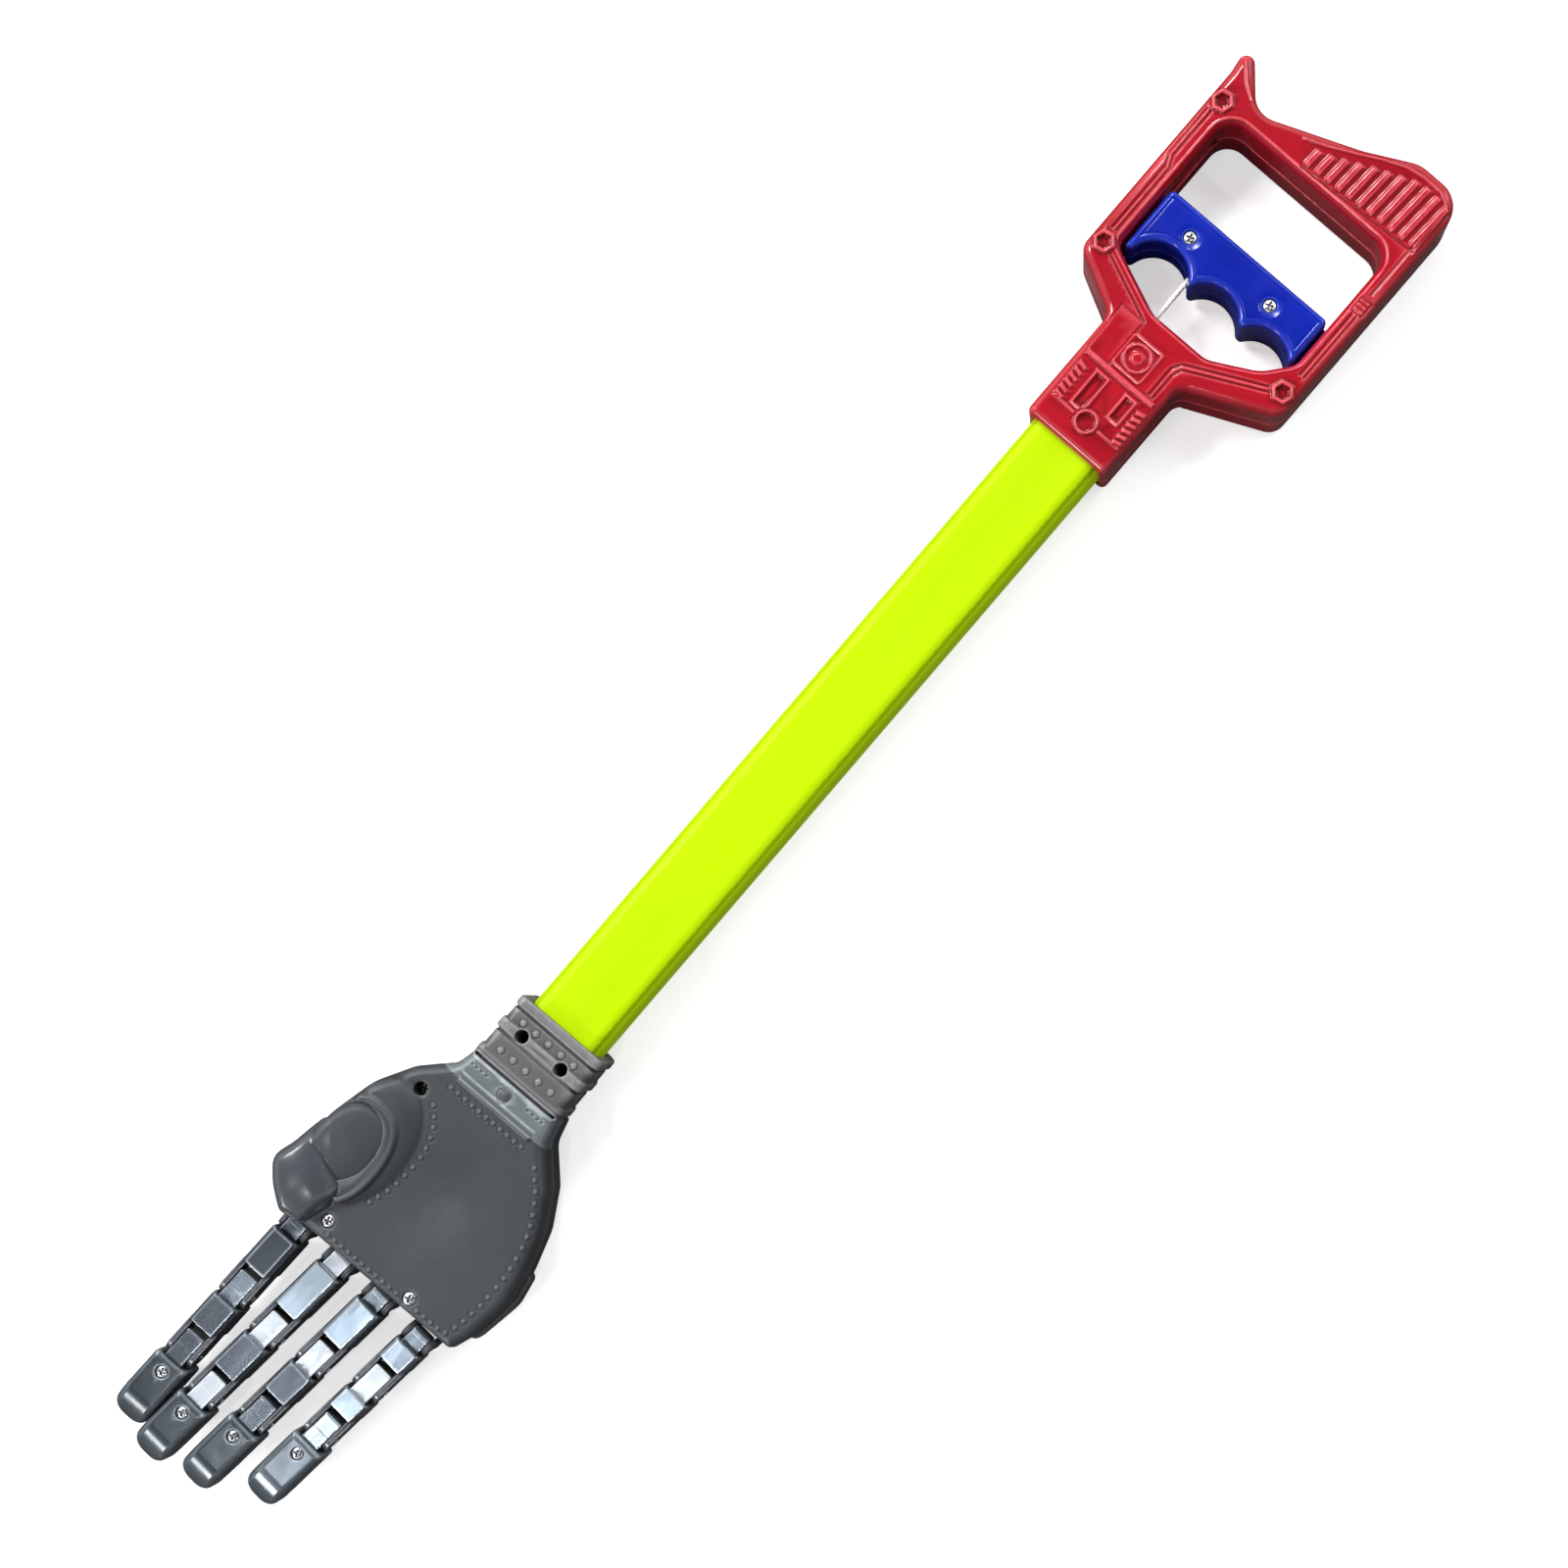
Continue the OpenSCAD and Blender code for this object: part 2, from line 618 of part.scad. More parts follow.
module tip(finger) {
  start = finger[4][0];
  end = finger[4][1];
  half = tip_width / 2;
  plan = [[start, -half, 1], [end, -half, 4.5], [end, half, 4.5], [start, half, 1]];
  // side view, columns [x, z, corner radius]
  profile = [[start, -7, 1], [end - 0.5, -7, 4], [end, 3.5, 5], [end - 9, 7.2, 12],
    [start, 7.2, 0.8]];
  screw_at = [start + tip_screw_inset, 0];
  color([0.36, 0.40, 0.43]) place() knuckle_frame(finger) difference() {
    union() {
      intersection() {
        translate([0, 0, 0.1]) bar(tip_width, 14.2, 3, [start, end]);
        slab(plan, [-10, 10]);
        translate([0, 20, 0]) rotate([90, 0, 0]) linear_extrude(40) polygon(rounded(profile));
      }
      tongue(tip_pivot(finger), start, back = 5.7, half_height = 3.9);
    }
    hinge_rod(tip_pivot(finger), pin_radius + pin_gap);
    rod(screw_at, [3, far], tight_hole);
    rod(screw_at, [tip_seat, far], 2);
  }
}
module hinge_pin(finger, pivot) {
  color(pin_steel) place() knuckle_frame(finger)
    hinge_rod(pivot, pin_radius, hinge_pin_length);
}
module tip_screw(finger) {
  color(bright_steel) place() knuckle_frame(finger)
    screw([finger[4][0] + tip_screw_inset, 0], seat = tip_seat, end = 3.2,
      head_radius = 1.9, head_height = 1.3);
}

module index_proximal() { proximal(index_finger); }
module index_middle() { middle(index_finger); }
module index_tip() { tip(index_finger); }
module index_middle_pin() { hinge_pin(index_finger, middle_pivot(index_finger)); }
module index_tip_pin() { hinge_pin(index_finger, tip_pivot(index_finger)); }
module index_tip_screw() { tip_screw(index_finger); }
module middle_proximal() { proximal(middle_finger); }
module middle_middle() { middle(middle_finger); }
module middle_tip() { tip(middle_finger); }
module middle_middle_pin() { hinge_pin(middle_finger, middle_pivot(middle_finger)); }
module middle_tip_pin() { hinge_pin(middle_finger, tip_pivot(middle_finger)); }
module middle_tip_screw() { tip_screw(middle_finger); }
module ring_proximal() { proximal(ring_finger); }
module ring_middle() { middle(ring_finger); }
module ring_tip() { tip(ring_finger); }
module ring_middle_pin() { hinge_pin(ring_finger, middle_pivot(ring_finger)); }
module ring_tip_pin() { hinge_pin(ring_finger, tip_pivot(ring_finger)); }
module ring_tip_screw() { tip_screw(ring_finger); }
module little_proximal() { proximal(little_finger); }
module little_middle() { middle(little_finger); }
module little_tip() { tip(little_finger); }
module little_middle_pin() { hinge_pin(little_finger, middle_pivot(little_finger)); }
module little_tip_pin() { hinge_pin(little_finger, tip_pivot(little_finger)); }
module little_tip_screw() { tip_screw(little_finger); }

handle_front_shell();
handle_back_shell();
handle_screws();
trigger_front_half();
trigger_back_half();
trigger_screws();
pull_cord();
tube();
palm_front_shell();
palm_back_shell();
thumb();
palm_screws();
collar_screws();
cord_slider();
return_spring();
finger_cords();
knuckle_pins();
index_proximal();
index_middle();
index_tip();
index_middle_pin();
index_tip_pin();
index_tip_screw();
middle_proximal();
middle_middle();
middle_tip();
middle_middle_pin();
middle_tip_pin();
middle_tip_screw();
ring_proximal();
ring_middle();
ring_tip();
ring_middle_pin();
ring_tip_pin();
ring_tip_screw();
little_proximal();
little_middle();
little_tip();
little_middle_pin();
little_tip_pin();
little_tip_screw();
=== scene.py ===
# Robot-hand reacher grabber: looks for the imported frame. Lengths below are millimetres in the
# design frame (tube centre line on Y = 0, Z = 0); MM and SHIFT take them to the row frame.
import bpy, bmesh, math
import numpy as np
from mathutils import Vector, Matrix


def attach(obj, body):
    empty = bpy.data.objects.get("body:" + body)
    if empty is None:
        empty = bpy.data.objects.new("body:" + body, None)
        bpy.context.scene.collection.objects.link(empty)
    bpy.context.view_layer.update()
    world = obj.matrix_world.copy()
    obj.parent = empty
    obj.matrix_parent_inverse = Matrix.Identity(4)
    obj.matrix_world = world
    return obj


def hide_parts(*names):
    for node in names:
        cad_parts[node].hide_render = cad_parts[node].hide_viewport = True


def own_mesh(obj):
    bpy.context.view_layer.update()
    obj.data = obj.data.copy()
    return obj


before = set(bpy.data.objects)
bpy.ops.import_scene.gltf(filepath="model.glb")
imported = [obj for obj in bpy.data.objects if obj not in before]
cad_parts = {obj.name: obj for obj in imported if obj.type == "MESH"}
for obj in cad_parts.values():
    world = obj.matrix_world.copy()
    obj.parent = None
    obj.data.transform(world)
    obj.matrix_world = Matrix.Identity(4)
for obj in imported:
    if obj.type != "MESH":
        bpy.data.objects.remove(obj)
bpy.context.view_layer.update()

MM = 0.001
YS, ZS = -2.45, 12.5
SHIFT = np.array([0.0, YS, ZS])
f32 = np.float32
COARSE = 1.0

# ------------------------------------------------------------------ outlines
def rounded(P, n=6):
    out = []
    m = len(P)
    for i in range(m):
        a, b, c = (np.array(P[(i - 1) % m][:2], float), np.array(P[i][:2], float), np.array(P[(i + 1) % m][:2], float))
        r = P[i][2]
        u, v = (a - b) / np.linalg.norm(a - b), (c - b) / np.linalg.norm(c - b)
        h = math.acos(max(-1, min(1, float(u @ v)))) / 2
        t = r / math.tan(h)
        s, e = b + u * t, b + v * t
        k = (u + v) / np.linalg.norm(u + v)
        o = b + k * (r / math.sin(h))
        a0, a1 = math.atan2(s[1] - o[1], s[0] - o[0]), math.atan2(e[1] - o[1], e[0] - o[0])
        d = (a1 - a0 + math.pi) % (2 * math.pi) - math.pi
        for q in range(n + 1):
            w = a0 + d * q / n
            out.append((o[0] + r * math.cos(w), o[1] + r * math.sin(w)))
    return out

def rect(x0, x1, y0, y1, r):
    return [(x0, y0, r), (x1, y0, r), (x1, y1, r), (x0, y1, r)]

def poly2(X, Y, P):
    """signed distance to a closed outline, negative inside"""
    d = np.full(X.shape, 1e9, f32)
    s = np.ones(X.shape, bool)
    m = len(P)
    for i in range(m):
        ax, ay = P[i]
        bx, by = P[i - 1]
        ex, ey = bx - ax, by - ay
        L = ex * ex + ey * ey
        if L < 1e-12:
            continue
        wx, wy = X - f32(ax), Y - f32(ay)
        t = np.clip((wx * f32(ex) + wy * f32(ey)) / f32(L), 0, 1)
        dx, dy = wx - t * f32(ex), wy - t * f32(ey)
        np.minimum(d, dx * dx + dy * dy, out=d)
        c1, c2, c3 = Y >= ay, Y < by, (ex * wy) > (ey * wx)
        flip = (c1 & c2 & c3) | (~c1 & ~c2 & ~c3)
        s ^= flip
    return np.where(s, 1, -1).astype(f32) * np.sqrt(d)

def seg2(X, Y, a, b):
    ex, ey = b[0] - a[0], b[1] - a[1]
    wx, wy = X - f32(a[0]), Y - f32(a[1])
    t = np.clip((wx * ex + wy * ey) / f32(ex * ex + ey * ey + 1e-12), 0, 1)
    return np.hypot(wx - t * f32(ex), wy - t * f32(ey))

def path2(X, Y, P, closed=False):
    d = None
    for i in range(len(P) - (0 if closed else 1)):
        q = seg2(X, Y, P[i], P[(i + 1) % len(P)])
        d = q if d is None else np.minimum(d, q)
    return d

def box2(X, Y, cx, cy, hx, hy, ang=0.0, r=0.0):
    c, s = math.cos(math.radians(ang)), math.sin(math.radians(ang))
    x, y = (X - f32(cx)) * c + (Y - f32(cy)) * s, -(X - f32(cx)) * s + (Y - f32(cy)) * c
    qx, qy = np.abs(x) - (hx - r), np.abs(y) - (hy - r)
    return np.hypot(np.maximum(qx, 0), np.maximum(qy, 0)) + np.minimum(np.maximum(qx, qy), 0) - r

def circ2(X, Y, cx, cy, r):
    return np.hypot(X - f32(cx), Y - f32(cy)) - r

def hex2(X, Y, cx, cy, r, ang=0.0):
    x, y = X - f32(cx), Y - f32(cy)
    d = None
    for k in range(3):
        a = math.radians(ang + 60 * k)
        q = np.abs(x * f32(math.cos(a)) + y * f32(math.sin(a))) - r
        d = q if d is None else np.maximum(d, q)
    return d

def step(d, soft=0.5):
    """1 inside a shape of signed distance d, 0 outside, smooth over soft"""
    t = np.clip(0.5 - d / soft, 0, 1)
    return t * t * (3 - 2 * t)

# ------------------------------------------------------------------ solids
def rint(a, b, r):
    """intersection with a round edge of radius r"""
    return np.minimum(np.maximum(a, b), -r) + np.hypot(np.maximum(a + r, 0), np.maximum(b + r, 0))

def runi(a, b, r):
    """union with a fillet of radius r"""
    return np.maximum(np.minimum(a, b), r) - np.hypot(np.maximum(r - a, 0), np.maximum(r - b, 0))

def capsule(X, Y, z, a, b, ra, rb):
    a, b = np.array(a, float), np.array(b, float)
    e = b - a
    t = np.clip(((X - a[0]) * e[0] + (Y - a[1]) * e[1] + (z - a[2]) * e[2]) / (e @ e), 0, 1).astype(f32)
    return np.sqrt((X - a[0] - t * e[0]) ** 2 + (Y - a[1] - t * e[1]) ** 2 + (z - a[2] - t * e[2]) ** 2) - (ra + (rb - ra) * t)

def ball(X, Y, z, c, r, s=(1, 1, 1)):
    q = np.sqrt(((X - c[0]) / s[0]) ** 2 + ((Y - c[1]) / s[1]) ** 2 + ((z - c[2]) / s[2]) ** 2)
    return (q - r) * min(s)

# ------------------------------------------------------------------ mesher
CORN = [(0, 0, 0), (1, 0, 0), (0, 1, 0), (1, 1, 0), (0, 0, 1), (1, 0, 1), (0, 1, 1), (1, 1, 1)]
EDGE = [(0, 1), (2, 3), (4, 5), (6, 7), (0, 2), (1, 3), (4, 6), (5, 7), (0, 4), (1, 5), (2, 6), (3, 7)]

def nets(V):
    ins = V < 0
    c = np.zeros(tuple(n - 1 for n in V.shape), np.uint8)
    sl = lambda d, n: slice(d, n - 1 + d)
    for d in CORN:
        c += ins[sl(d[0], V.shape[0]), sl(d[1], V.shape[1]), sl(d[2], V.shape[2])]
    mixed = (c > 0) & (c < 8)
    idx = np.argwhere(mixed).astype(np.int32)
    vid = np.full(mixed.shape, -1, np.int32)
    vid[mixed] = np.arange(len(idx), dtype=np.int32)
    val = [V[idx[:, 0] + d[0], idx[:, 1] + d[1], idx[:, 2] + d[2]] for d in CORN]
    acc = np.zeros((len(idx), 3))
    cnt = np.zeros(len(idx))
    for a, b in EDGE:
        va, vb = val[a], val[b]
        m = (va < 0) != (vb < 0)
        t = (va[m] / (va[m] - vb[m]))[:, None]
        acc[m] += np.array(CORN[a]) + (np.array(CORN[b]) - np.array(CORN[a])) * t
        cnt[m] += 1
    P = idx + acc / cnt[:, None]
    quads = []
    for ax in range(3):
        u, v = [(1, 2), (2, 0), (0, 1)][ax]
        lo = [slice(None)] * 3
        hi = [slice(None)] * 3
        lo[ax], hi[ax] = slice(0, -1), slice(1, None)
        for w in (u, v):
            lo[w] = hi[w] = slice(1, -1)
        A, B = ins[tuple(lo)], ins[tuple(hi)]
        e = np.argwhere(A != B)
        inside_first = A[tuple(e.T)]
        base = e.copy()
        base[:, u] += 1
        base[:, v] += 1
        def cell(du, dv):
            q = base.copy()
            q[:, u] += du
            q[:, v] += dv
            return vid[tuple(q.T)]
        q = np.stack([cell(-1, -1), cell(0, -1), cell(0, 0), cell(-1, 0)], 1)
        q[~inside_first] = q[~inside_first][:, ::-1]
        quads.append(q)
    return P, np.concatenate(quads)

def tri(V, P):
    """trilinear sample of V at grid points P"""
    n = np.array(V.shape) - 2
    i = np.clip(np.floor(P).astype(int), 0, n)
    t = np.clip(P - i, 0, 1)
    out = 0
    for d in CORN:
        w = np.ones(len(P))
        for k in range(3):
            w = w * (t[:, k] if d[k] else 1 - t[:, k])
        out = out + w * V[i[:, 0] + d[0], i[:, 1] + d[1], i[:, 2] + d[2]]
    return out

def mesh_from(name, verts, faces):
    me = bpy.data.meshes.new(name)
    me.from_pydata([tuple(v) for v in verts], [], [tuple(f) for f in faces]) if len(faces) and isinstance(faces, list) else None
    if not isinstance(faces, list):
        nf = len(faces)
        me.vertices.add(len(verts))
        me.vertices.foreach_set("co", np.asarray(verts, f32).ravel())
        me.loops.add(nf * 4)
        me.loops.foreach_set("vertex_index", faces.astype(np.int32).ravel())
        me.polygons.add(nf)
        me.polygons.foreach_set("loop_start", np.arange(0, nf * 4, 4, dtype=np.int32))
        me.update(calc_edges=True)
        me.validate()
    return me

def solid(name, lo, hi, h, make, body, mat, replaces=(), ratio=0.5, local=None, curv=0.8, pick=None, cut=()):
    """Meshes the zero level of make(X, Y)(z) and puts it on a body. local is a 4x4 from the piece's own millimetres to the design frame."""
    h = h * COARSE
    ax = [np.arange(lo[k] - 2.5 * h, hi[k] + 3.5 * h, h) for k in range(3)]
    X, Y = np.meshgrid(ax[0].astype(f32), ax[1].astype(f32), indexing="ij")
    at = make(X, Y)
    V = np.empty((len(ax[0]), len(ax[1]), len(ax[2])), f32)
    for k, z in enumerate(ax[2]):
        V[:, :, k] = at(f32(z))
    P, Q = nets(V)
    me = mesh_from(name, P, Q)
    ob = bpy.data.objects.new(name, me)
    bpy.context.collection.objects.link(ob)
    if ratio < 1:
        mod = ob.modifiers.new("d", "DECIMATE")
        mod.ratio = ratio
        dg = bpy.context.evaluated_depsgraph_get()
        new = bpy.data.meshes.new_from_object(ob.evaluated_get(dg))
        ob.modifiers.clear()
        ob.data = new
        bpy.data.meshes.remove(me)
        me = new
        me.name = name
    if cut:
        # edge loops across the piece, so the faces on both sides can have their own material
        bm = bmesh.new()
        bm.from_mesh(me)
        for x in cut:
            bmesh.ops.bisect_plane(bm, geom=list(bm.verts) + list(bm.edges) + list(bm.faces), dist=1e-5, plane_co=((x - ax[0][0]) / h, 0, 0), plane_no=(1, 0, 0))
        bmesh.ops.triangulate(bm, faces=list(bm.faces))
        bm.to_mesh(me)
        bm.free()
    n = len(me.vertices)
    co = np.empty(n * 3, f32)
    me.vertices.foreach_get("co", co)
    P = co.reshape(-1, 3).astype(float)
    def grad(s):
        return np.stack([tri(V, P + s * np.eye(3)[k]) - tri(V, P - s * np.eye(3)[k]) for k in range(3)], 1)
    N = grad(0.6)
    L = np.linalg.norm(N, axis=1)
    N /= np.maximum(L, 1e-9)[:, None]
    s = curv / h
    lap = (sum(tri(V, P + s * np.eye(3)[k]) + tri(V, P - s * np.eye(3)[k]) for k in range(3)) - 6 * tri(V, P)) / (curv * curv)
    W = P * h + np.array([ax[0][0], ax[1][0], ax[2][0]])
    own = W.copy()
    if local is not None:
        M = np.array(local)
        W = W @ M[:3, :3].T + M[:3, 3]
        N = N @ M[:3, :3].T
    W = (W + SHIFT) * MM
    me.vertices.foreach_set("co", W.astype(f32).ravel())
    me.polygons.foreach_set("use_smooth", np.ones(len(me.polygons), bool))
    me.update()
    a = me.attributes.new("curv", "FLOAT", "POINT")
    a.data.foreach_set("value", np.clip(lap, -3, 3).astype(f32))
    me.normals_split_custom_set_from_vertices([tuple(v) for v in N])
    for m in (mat if isinstance(mat, list) else [mat]):
        me.materials.append(m)
    if pick:
        # material of each face from its middle, in the piece's own millimetres
        ls, lt = np.empty(len(me.polygons), np.int32), np.empty(len(me.polygons), np.int32)
        me.polygons.foreach_get("loop_start", ls)
        me.polygons.foreach_get("loop_total", lt)
        vi = np.empty(len(me.loops), np.int32)
        me.loops.foreach_get("vertex_index", vi)
        C = np.add.reduceat(own[vi], ls, axis=0) / lt[:, None]
        me.polygons.foreach_set("material_index", np.asarray(pick(C), np.int32))
    if replaces:
        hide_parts(*replaces)
    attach(ob, body)
    return ob

# ------------------------------------------------------------------ materials
def srgb(r, g, b):
    f = lambda c: (c / 255 / 12.92) if c / 255 <= 0.04045 else ((c / 255 + 0.055) / 1.055) ** 2.4
    return (f(r), f(g), f(b), 1.0)

def plastic(name, base, alt, edge, groove_shade, rough=(0.25, 0.4), metallic=0.0, coat=0.0, coat_rough=0.1, vary=25.0, bump=0.02,
            grain=900.0, edge_highlight=0.5, painted_glow=0.0, spec=0.5, sss=0.0, stretch=None, tint=None):
    m = bpy.data.materials.new(name)
    m.use_nodes = True
    t = m.node_tree
    N, K = t.nodes, t.links
    b = N["Principled BSDF"]
    tc = N.new("ShaderNodeTexCoord")
    if stretch:
        mp = N.new("ShaderNodeMapping")
        mp.inputs["Scale"].default_value = stretch
        K.new(tc.outputs["Object"], mp.inputs["Vector"])
        place = mp.outputs["Vector"]
    else:
        place = tc.outputs["Object"]
    n1 = N.new("ShaderNodeTexNoise")
    n1.inputs["Scale"].default_value = vary
    n1.inputs["Detail"].default_value = 5
    n1.inputs["Roughness"].default_value = 0.6
    K.new(place, n1.inputs["Vector"])
    cr = N.new("ShaderNodeMapRange")
    cr.inputs["From Min"].default_value, cr.inputs["From Max"].default_value = 0.35, 0.65
    K.new(n1.outputs["Fac"], cr.inputs["Value"])
    mix = N.new("ShaderNodeMix")
    mix.data_type = "RGBA"
    mix.inputs["A"].default_value, mix.inputs["B"].default_value = base, alt
    K.new(cr.outputs["Result"], mix.inputs["Factor"])
    at = N.new("ShaderNodeAttribute")
    at.attribute_name = "curv"
    # painted highlight: lighter convex edges, broken up by a finer noise
    n2 = N.new("ShaderNodeTexNoise")
    n2.inputs["Scale"].default_value = vary * 14
    n2.inputs["Detail"].default_value = 3
    K.new(place, n2.inputs["Vector"])
    e1 = N.new("ShaderNodeMapRange")
    e1.inputs["From Min"].default_value, e1.inputs["From Max"].default_value = 0.25, 1.3
    K.new(at.outputs["Fac"], e1.inputs["Value"])
    e2 = N.new("ShaderNodeMath")
    e2.operation = "MULTIPLY"
    K.new(e1.outputs["Result"], e2.inputs[0])
    e3 = N.new("ShaderNodeMapRange")
    e3.inputs["From Min"].default_value, e3.inputs["From Max"].default_value = 0.3, 0.7
    e3.inputs["To Min"].default_value, e3.inputs["To Max"].default_value = edge_highlight * 0.5, edge_highlight
    K.new(n2.outputs["Fac"], e3.inputs["Value"])
    K.new(e3.outputs["Result"], e2.inputs[1])
    mix2 = N.new("ShaderNodeMix")
    mix2.data_type = "RGBA"
    K.new(e2.outputs["Value"], mix2.inputs["Factor"])
    K.new(mix.outputs["Result"], mix2.inputs["A"])
    mix2.inputs["B"].default_value = edge
    # painted shade: darker in grooves
    d1 = N.new("ShaderNodeMapRange")
    d1.inputs["From Min"].default_value, d1.inputs["From Max"].default_value = -0.2, -1.4
    d1.inputs["To Max"].default_value = 0.75
    K.new(at.outputs["Fac"], d1.inputs["Value"])
    mix3 = N.new("ShaderNodeMix")
    mix3.data_type = "RGBA"
    K.new(d1.outputs["Result"], mix3.inputs["Factor"])
    K.new(mix2.outputs["Result"], mix3.inputs["A"])
    mix3.inputs["B"].default_value = groove_shade
    K.new(mix3.outputs["Result"], b.inputs["Base Color"])
    # roughness: broad smears and fine scuffs
    r1 = N.new("ShaderNodeMapRange")
    r1.inputs["From Min"].default_value, r1.inputs["From Max"].default_value = 0.3, 0.7
    r1.inputs["To Min"].default_value, r1.inputs["To Max"].default_value = rough
    n3 = N.new("ShaderNodeTexNoise")
    n3.inputs["Scale"].default_value = vary * 3.3
    n3.inputs["Detail"].default_value = 4
    n3.inputs["Distortion"].default_value = 0.6
    K.new(place, n3.inputs["Vector"])
    K.new(n3.outputs["Fac"], r1.inputs["Value"])
    K.new(r1.outputs["Result"], b.inputs["Roughness"])
    n4 = N.new("ShaderNodeTexNoise")
    n4.inputs["Scale"].default_value = grain
    n4.inputs["Detail"].default_value = 3
    K.new(place, n4.inputs["Vector"])
    bp = N.new("ShaderNodeBump")
    bp.inputs["Strength"].default_value = 0.35
    bp.inputs["Distance"].default_value = bump * MM
    K.new(n4.outputs["Fac"], bp.inputs["Height"])
    bp2 = N.new("ShaderNodeBump")
    bp2.inputs["Strength"].default_value = 0.5
    bp2.inputs["Distance"].default_value = bump * 6 * MM
    n5 = N.new("ShaderNodeTexNoise")
    n5.inputs["Scale"].default_value = vary * 1.4
    n5.inputs["Detail"].default_value = 1
    K.new(place, n5.inputs["Vector"])
    K.new(n5.outputs["Fac"], bp2.inputs["Height"])
    K.new(bp.outputs["Normal"], bp2.inputs["Normal"])
    K.new(bp2.outputs["Normal"], b.inputs["Normal"])
    b.inputs["Metallic"].default_value = metallic
    b.inputs["Specular IOR Level"].default_value = spec
    if tint:
        b.inputs["Specular Tint"].default_value = tint
    b.inputs["Coat Weight"].default_value = coat
    b.inputs["Coat Roughness"].default_value = coat_rough
    if sss:
        b.inputs["Subsurface Weight"].default_value = sss
        b.inputs["Subsurface Radius"].default_value = (0.004, 0.004, 0.002)
        b.inputs["Subsurface Scale"].default_value = 0.6
    # painted glow: the surface colour is also given off as light
    if painted_glow:
        K.new(mix3.outputs["Result"], b.inputs["Emission Color"])
        b.inputs["Emission Strength"].default_value = painted_glow
    return m

# after the name: base and alternate tone, then the colour of the painted highlight on convex edges, then the colour of
# the painted shade in grooves
RED = plastic("red_plastic", srgb(156, 18, 31), srgb(138, 14, 27), srgb(234, 98, 110), srgb(84, 6, 12), rough=(0.13, 0.22), vary=28, bump=0.02, edge_highlight=0.55, spec=0.3, tint=(1.0, 0.62, 0.66, 1), coat=0.45, coat_rough=0.07)
BLUE = plastic("blue_plastic", srgb(13, 32, 148), srgb(9, 24, 126), srgb(60, 88, 218), srgb(6, 10, 66), rough=(0.13, 0.24), vary=40, bump=0.03, edge_highlight=0.45, spec=0.3, tint=(0.66, 0.72, 1.0, 1), coat=0.3, coat_rough=0.1)
# the tube glows slightly: painted light that brightens its shaded sides
TUBE = plastic("tube_plastic", srgb(152, 184, 0), srgb(147, 178, 0), srgb(220, 252, 40), srgb(150, 190, 0), rough=(0.3, 0.42), vary=60, bump=0.006, edge_highlight=0.2, spec=0.06, stretch=(0.12, 1.0, 1.0), painted_glow=0.3)
TUBE_IN = plastic("tube_inside", srgb(150, 182, 0), srgb(140, 172, 0), srgb(180, 210, 40), srgb(110, 140, 0), rough=(0.4, 0.5), vary=60, bump=0.006, edge_highlight=0.1, spec=0.05)
GREY = plastic("hand_plastic", srgb(56, 59, 62), srgb(48, 51, 54), srgb(118, 122, 126), srgb(22, 23, 25), rough=(0.4, 0.5), vary=22, bump=0.012, edge_highlight=0.35, spec=0.35)
THUMB = plastic("thumb_plastic", srgb(66, 70, 75), srgb(56, 60, 65), srgb(126, 130, 136), srgb(32, 34, 38), rough=(0.2, 0.26), vary=26, bump=0.02, edge_highlight=0.3, spec=0.45)
# darker, rougher copy of the thumb plastic for the base segment; the darker colour is painted shade
THUMB_BASE_SHADED = plastic("thumb_base_shaded", srgb(57, 60, 65), srgb(49, 52, 57), srgb(110, 114, 120), srgb(30, 32, 36), rough=(0.44, 0.52), vary=26, bump=0.02, edge_highlight=0.3, spec=0.3)
COLLAR = plastic("collar_plastic", srgb(71, 70, 72), srgb(81, 80, 82), srgb(158, 157, 160), srgb(34, 32, 34), rough=(0.34, 0.46), vary=26, bump=0.02, edge_highlight=0.5, spec=0.45)
WRIST = plastic("wrist_plastic", srgb(94, 101, 105), srgb(83, 91, 94), srgb(186, 194, 198), srgb(36, 39, 41), rough=(0.3, 0.42), vary=26, bump=0.008, edge_highlight=0.6, spec=0.5)
BODY = plastic("finger_body", srgb(44, 46, 52), srgb(36, 38, 43), srgb(120, 126, 134), srgb(14, 14, 17), rough=(0.18, 0.32), vary=60, bump=0.015, edge_highlight=0.5, spec=0.6)
# the finger plates and links are one gunmetal plastic; these lit and shaded copies are painted light, standing in for
# how each plate catches the light
GUN_LIT = plastic("finger_plate", srgb(150, 164, 177), srgb(122, 136, 150), srgb(214, 224, 234), srgb(44, 48, 55), rough=(0.14, 0.26), metallic=0.8, vary=70, bump=0.007, edge_highlight=0.6, stretch=(0.22, 1.0, 1.0), grain=350.0)
GUN_SHADED = plastic("finger_plate_shaded", srgb(88, 95, 104), srgb(70, 77, 86), srgb(184, 194, 205), srgb(28, 31, 36), rough=(0.16, 0.28), metallic=0.75, vary=70, bump=0.007, edge_highlight=0.6, stretch=(0.22, 1.0, 1.0), grain=350.0)
GUN_HALF_SHADED = plastic("finger_plate_half_shaded", srgb(128, 139, 150), srgb(104, 115, 126), srgb(184, 194, 205), srgb(28, 31, 36), rough=(0.16, 0.28), metallic=0.75, vary=70, bump=0.007, edge_highlight=0.6, stretch=(0.22, 1.0, 1.0), grain=350.0)
GUN_DEEP_SHADED = plastic("finger_plate_deep_shaded", srgb(66, 72, 80), srgb(52, 58, 66), srgb(184, 194, 205), srgb(28, 31, 36), rough=(0.16, 0.28), metallic=0.5, vary=70, bump=0.007, edge_highlight=0.6, stretch=(0.22, 1.0, 1.0), grain=350.0)
